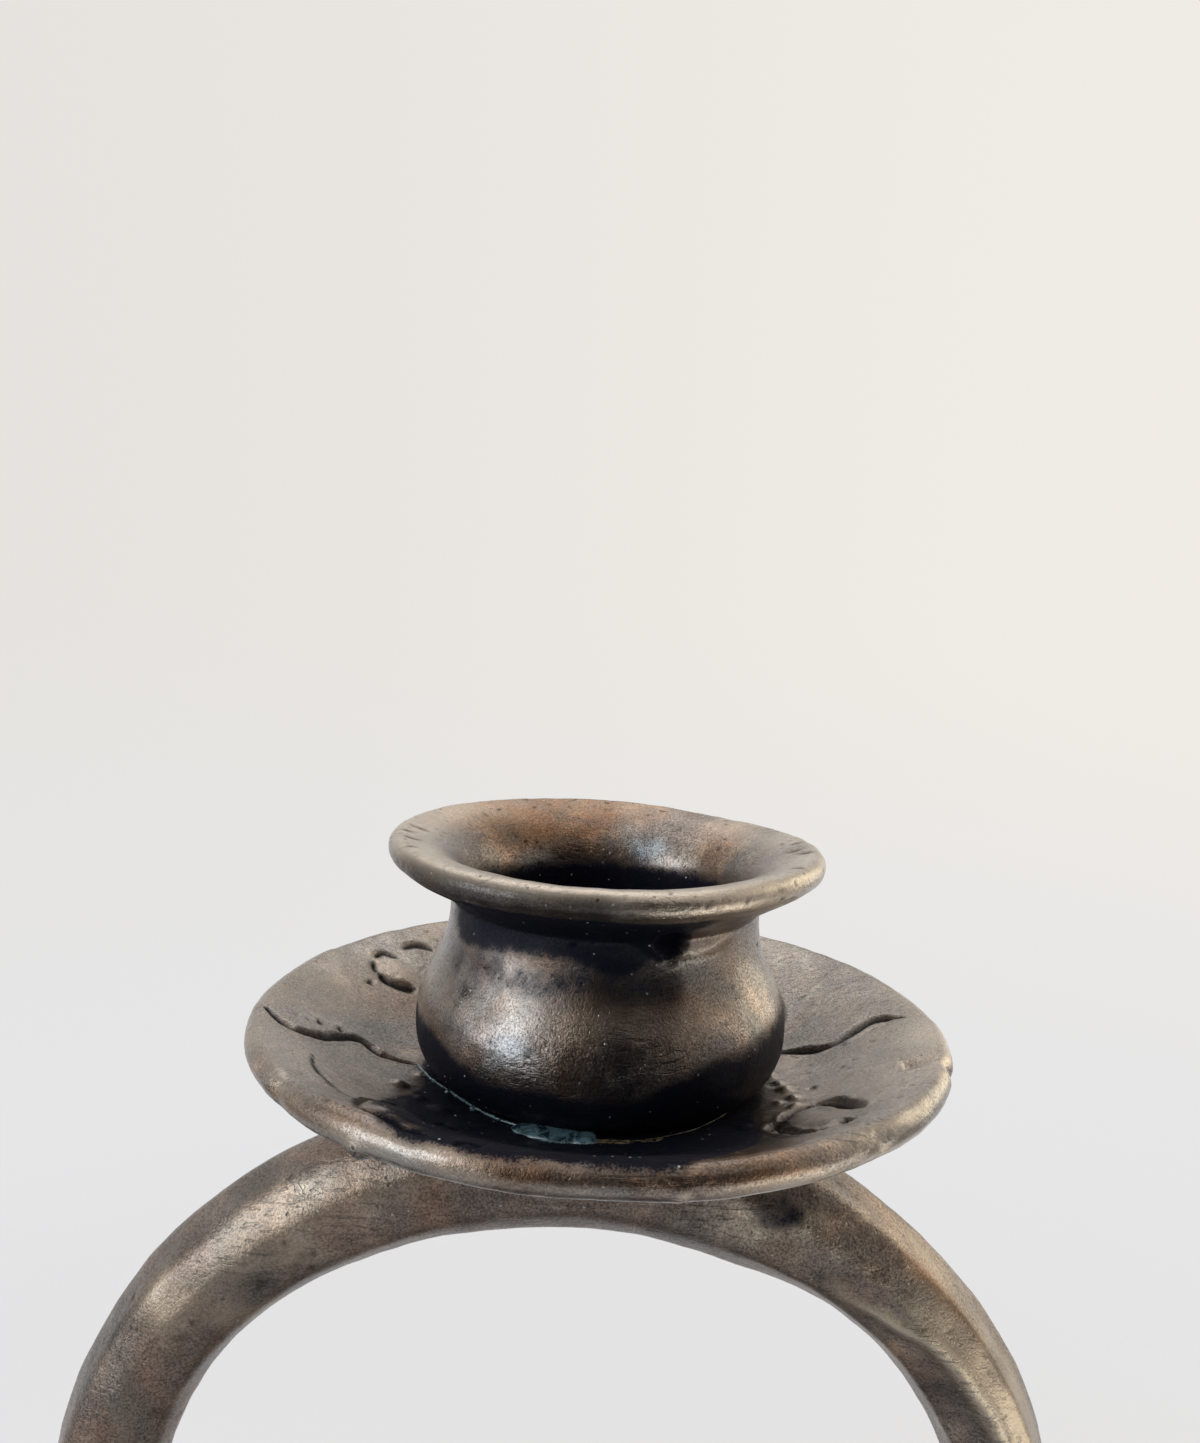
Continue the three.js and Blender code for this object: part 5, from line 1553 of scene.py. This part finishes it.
def makeNut(sizes):
    nut = bmesh.new()
    corner = sizes["nutHalfFlat"] / math.cos(math.pi / 6)
    bmesh.ops.create_circle(nut, cap_ends=True, segments=6, radius=corner)
    bmesh.ops.rotate(nut, verts=nut.verts, cent=(0, 0, 0), matrix=Matrix.Rotation(math.pi / 6, 3, "Z"))
    lifted = bmesh.ops.extrude_face_region(nut, geom=nut.faces[:])["geom"]
    raised = [part for part in lifted if isinstance(part, bmesh.types.BMVert)]
    bmesh.ops.translate(nut, verts=raised, vec=(0, 0, sizes["nutHeight"]))
    bmesh.ops.recalc_face_normals(nut, faces=nut.faces)
    bmesh.ops.bevel(nut, geom=nut.edges[:], offset=sizes["nutBevel"], segments=3, profile=0.5,
                    affect="EDGES", material=-1)
    bmesh.ops.triangulate(nut, faces=nut.faces)
    nut = carve(nut, turnedRod(sizes["hole"], sizes["nutHeight"] * 2, 0.1 * mm, 48), "nut")
    low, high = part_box("base_nut")
    wide = math.pi / 6 if high.x > high.y else math.pi * 2 / 3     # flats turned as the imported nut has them
    bmesh.ops.rotate(nut, verts=nut.verts, cent=(0, 0, 0), matrix=Matrix.Rotation(wide, 3, "Z"))
    shiftBy(nut, (0, 0, low.z))
    ageSkin(nut, 34.0, 0.0, 0.4)
    makePiece("hex_nut", nut, metals["zincSteel"], "base_nut")


def threadCoil(sizes, rodRadius, bottom):
    # one wire wound round the rod, thin at both ends
    steps = sizes["turns"] * sizes["perTurn"]
    stations = []
    for k in range(steps + 1):
        turn = math.tau * k / sizes["perTurn"]
        outward = Vector((math.cos(turn), math.sin(turn), 0))
        fade = min(1.0, min(k, steps - k) / sizes["runOut"]) + 0.01
        level = bottom + sizes["start"] + sizes["pitch"] * k / sizes["perTurn"]
        centre = outward * (rodRadius - sizes["across"]) + Vector((0, 0, level))
        stations.append((centre, outward * (sizes["across"] * fade), Vector((0, 0, sizes["along"] * fade))))
    return rollBar(stations, sizes["around"], lambda share, turn: 1.0)


def makeTieRod(sizes):
    low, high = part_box("tie_rod")
    rod = turnedRod(sizes["rod"] - 0.25 * mm, (high.z - low.z) / 2, 0.4 * mm, 48)
    shiftBy(rod, (0, 0, (high.z + low.z) / 2))
    whole = joinAll([rod, threadCoil(threadSizes, sizes["rod"], low.z)])
    ageSkin(whole, 35.0, 0.0, 0.5)
    makePiece("threaded_rod", whole, metals["zincSteel"], "tie_rod")


makeBase(baseSizes)
makeFeltPad(baseSizes)
baseWasher = ringOutline(baseSizes["washer"], baseSizes["hole"], baseSizes["washerHeight"], 0.3 * mm)
makeTurned("base_washer", "steel_washer", baseWasher, "zincSteel", 33.0, 96, 0.01 * mm)
makeNut(baseSizes)
makeTieRod(baseSizes)
print("base made")

# Stage: a pale floor that fades into the world's colour away from the object
stageLook = {"radius": 0.6, "color": (0.68, 0.68, 0.695, 1), "fadeStart": 0.16, "fadeEnd": 0.45}


def makeFloor(look):
    bm = bmesh.new()
    bmesh.ops.create_circle(bm, cap_ends=True, segments=96, radius=look["radius"])
    material, tree, shader = newMaterial("paleFloor", {
        "Base Color": look["color"], "Roughness": 0.9, "Specular IOR Level": 0.2})
    place = addNode(tree, "TexCoord").outputs["Object"]
    away = addNode(tree, "VectorMath", {0: place}, operation="LENGTH").outputs["Value"]
    alpha = rangeNode(tree, away, look["fadeStart"], look["fadeEnd"], 1.0, 0.0)
    feedShader(tree, shader, {"Alpha": alpha})
    floor = meshObject("studio_floor", bm, material)


makeFloor(stageLook)

# Light: windows left and right, a small one high up, a bounce low on the right and a soft one above.
# A spread under 180 degrees stands for a grid that keeps a lamp's light off the floor beside it.
lamps = {
    "window_left": {"place": (-0.5, -0.28, 0.36), "size": (0.3, 0.38), "spread": 130,
                    "brightness": 8.4, "color": (0.93, 0.97, 1.0)},
    "high_left": {"place": (-0.33, -0.2, 0.7), "size": (0.2, 0.2), "spread": 180,
                  "brightness": 2.6, "color": (0.88, 0.94, 1.0)},
    "window_right": {"place": (0.53, 0.31, 0.37), "size": (0.36, 0.46), "spread": 180,
                     "brightness": 2.0, "color": (1.0, 0.88, 0.64)},
    "bounce_right": {"place": (0.3, -0.14, 0.012), "size": (0.34, 0.3), "spread": 120,
                     "brightness": 3.2, "color": (1.0, 0.94, 0.79)},
    "overhead": {"place": (-0.1, 0.25, 0.8), "size": (0.7, 0.6), "spread": 180,
                 "brightness": 1.5, "color": (1.0, 0.98, 0.95)},
}
# a dark flag in front, which only gloss sees
flagSizes = {"width": 0.78, "height": 0.54, "place": (0.08, -0.4, 0.34)}


def aimAt(thing, target):
    way = Vector(target) - thing.location
    thing.rotation_euler = way.to_track_quat("-Z", "Y").to_euler()


def makeLamps():
    target = boxMiddle("cup_center")
    for name, lamp in lamps.items():
        data = bpy.data.lights.new(name, "AREA")
        data.shape = "RECTANGLE"
        data.size, data.size_y = lamp["size"]
        half = math.radians(lamp["spread"]) / 2
        grid = 1 - half / math.tan(half)        # share of the energy that a grid lets out
        data.spread = 2 * half
        data.energy = math.pi * data.size * data.size_y * lamp["brightness"] * grid
        data.color = lamp["color"]
        thing = bpy.data.objects.new(name, data)
        thing.location = lamp["place"]
        aimAt(thing, target)
        thing.visible_camera = False
        scene.collection.objects.link(thing)


def makeFlag(sizes):
    bm = bmesh.new()
    bmesh.ops.create_grid(bm, x_segments=1, y_segments=1, size=0.5)
    flag = meshObject("dark_flag", bm, newMaterial("flagCloth", {
        "Base Color": (0.012, 0.012, 0.014, 1), "Roughness": 1.0, "Specular IOR Level": 0.0})[0])
    flag.location = sizes["place"]
    flag.scale = (sizes["width"], sizes["height"], 1)
    aimAt(flag, boxMiddle("cup_center"))
    flag.visible_camera = False
    flag.visible_diffuse = False
    flag.visible_shadow = False


# colours of the world as seen, at the left, at the right and below, and as it lights the object
worldLook = {
    "left": (0.79, 0.77, 0.74, 1), "right": (0.87, 0.835, 0.785, 1), "below": (0.79, 0.79, 0.8, 1),
    "light": (0.62, 0.62, 0.63, 1),
}


def makeWorld(look):
    world = bpy.data.worlds.new("studio")
    world.use_nodes = True
    tree = world.node_tree
    background = tree.nodes["Background"]
    way = addNode(tree, "TexCoord").outputs["Generated"]
    parts = addNode(tree, "SeparateXYZ", {0: way}).outputs
    color = mixColor(tree, rangeNode(tree, parts[0], -0.5, 0.5), look["left"], look["right"])
    color = mixColor(tree, rangeNode(tree, parts[2], 0.0, -0.45), color, look["below"])
    seen = addNode(tree, "LightPath").outputs
    shown = mathNode(tree, "MAXIMUM", seen["Is Camera Ray"], seen["Is Glossy Ray"])
    shown = mathNode(tree, "MAXIMUM", shown, seen["Is Transmission Ray"])
    color = mixColor(tree, shown, look["light"], color)
    tree.links.new(color, background.inputs["Color"])
    background.inputs["Strength"].default_value = 1.0
    scene.world = world


makeLamps()
makeFlag(flagSizes)
makeWorld(worldLook)
print("stage and light made")
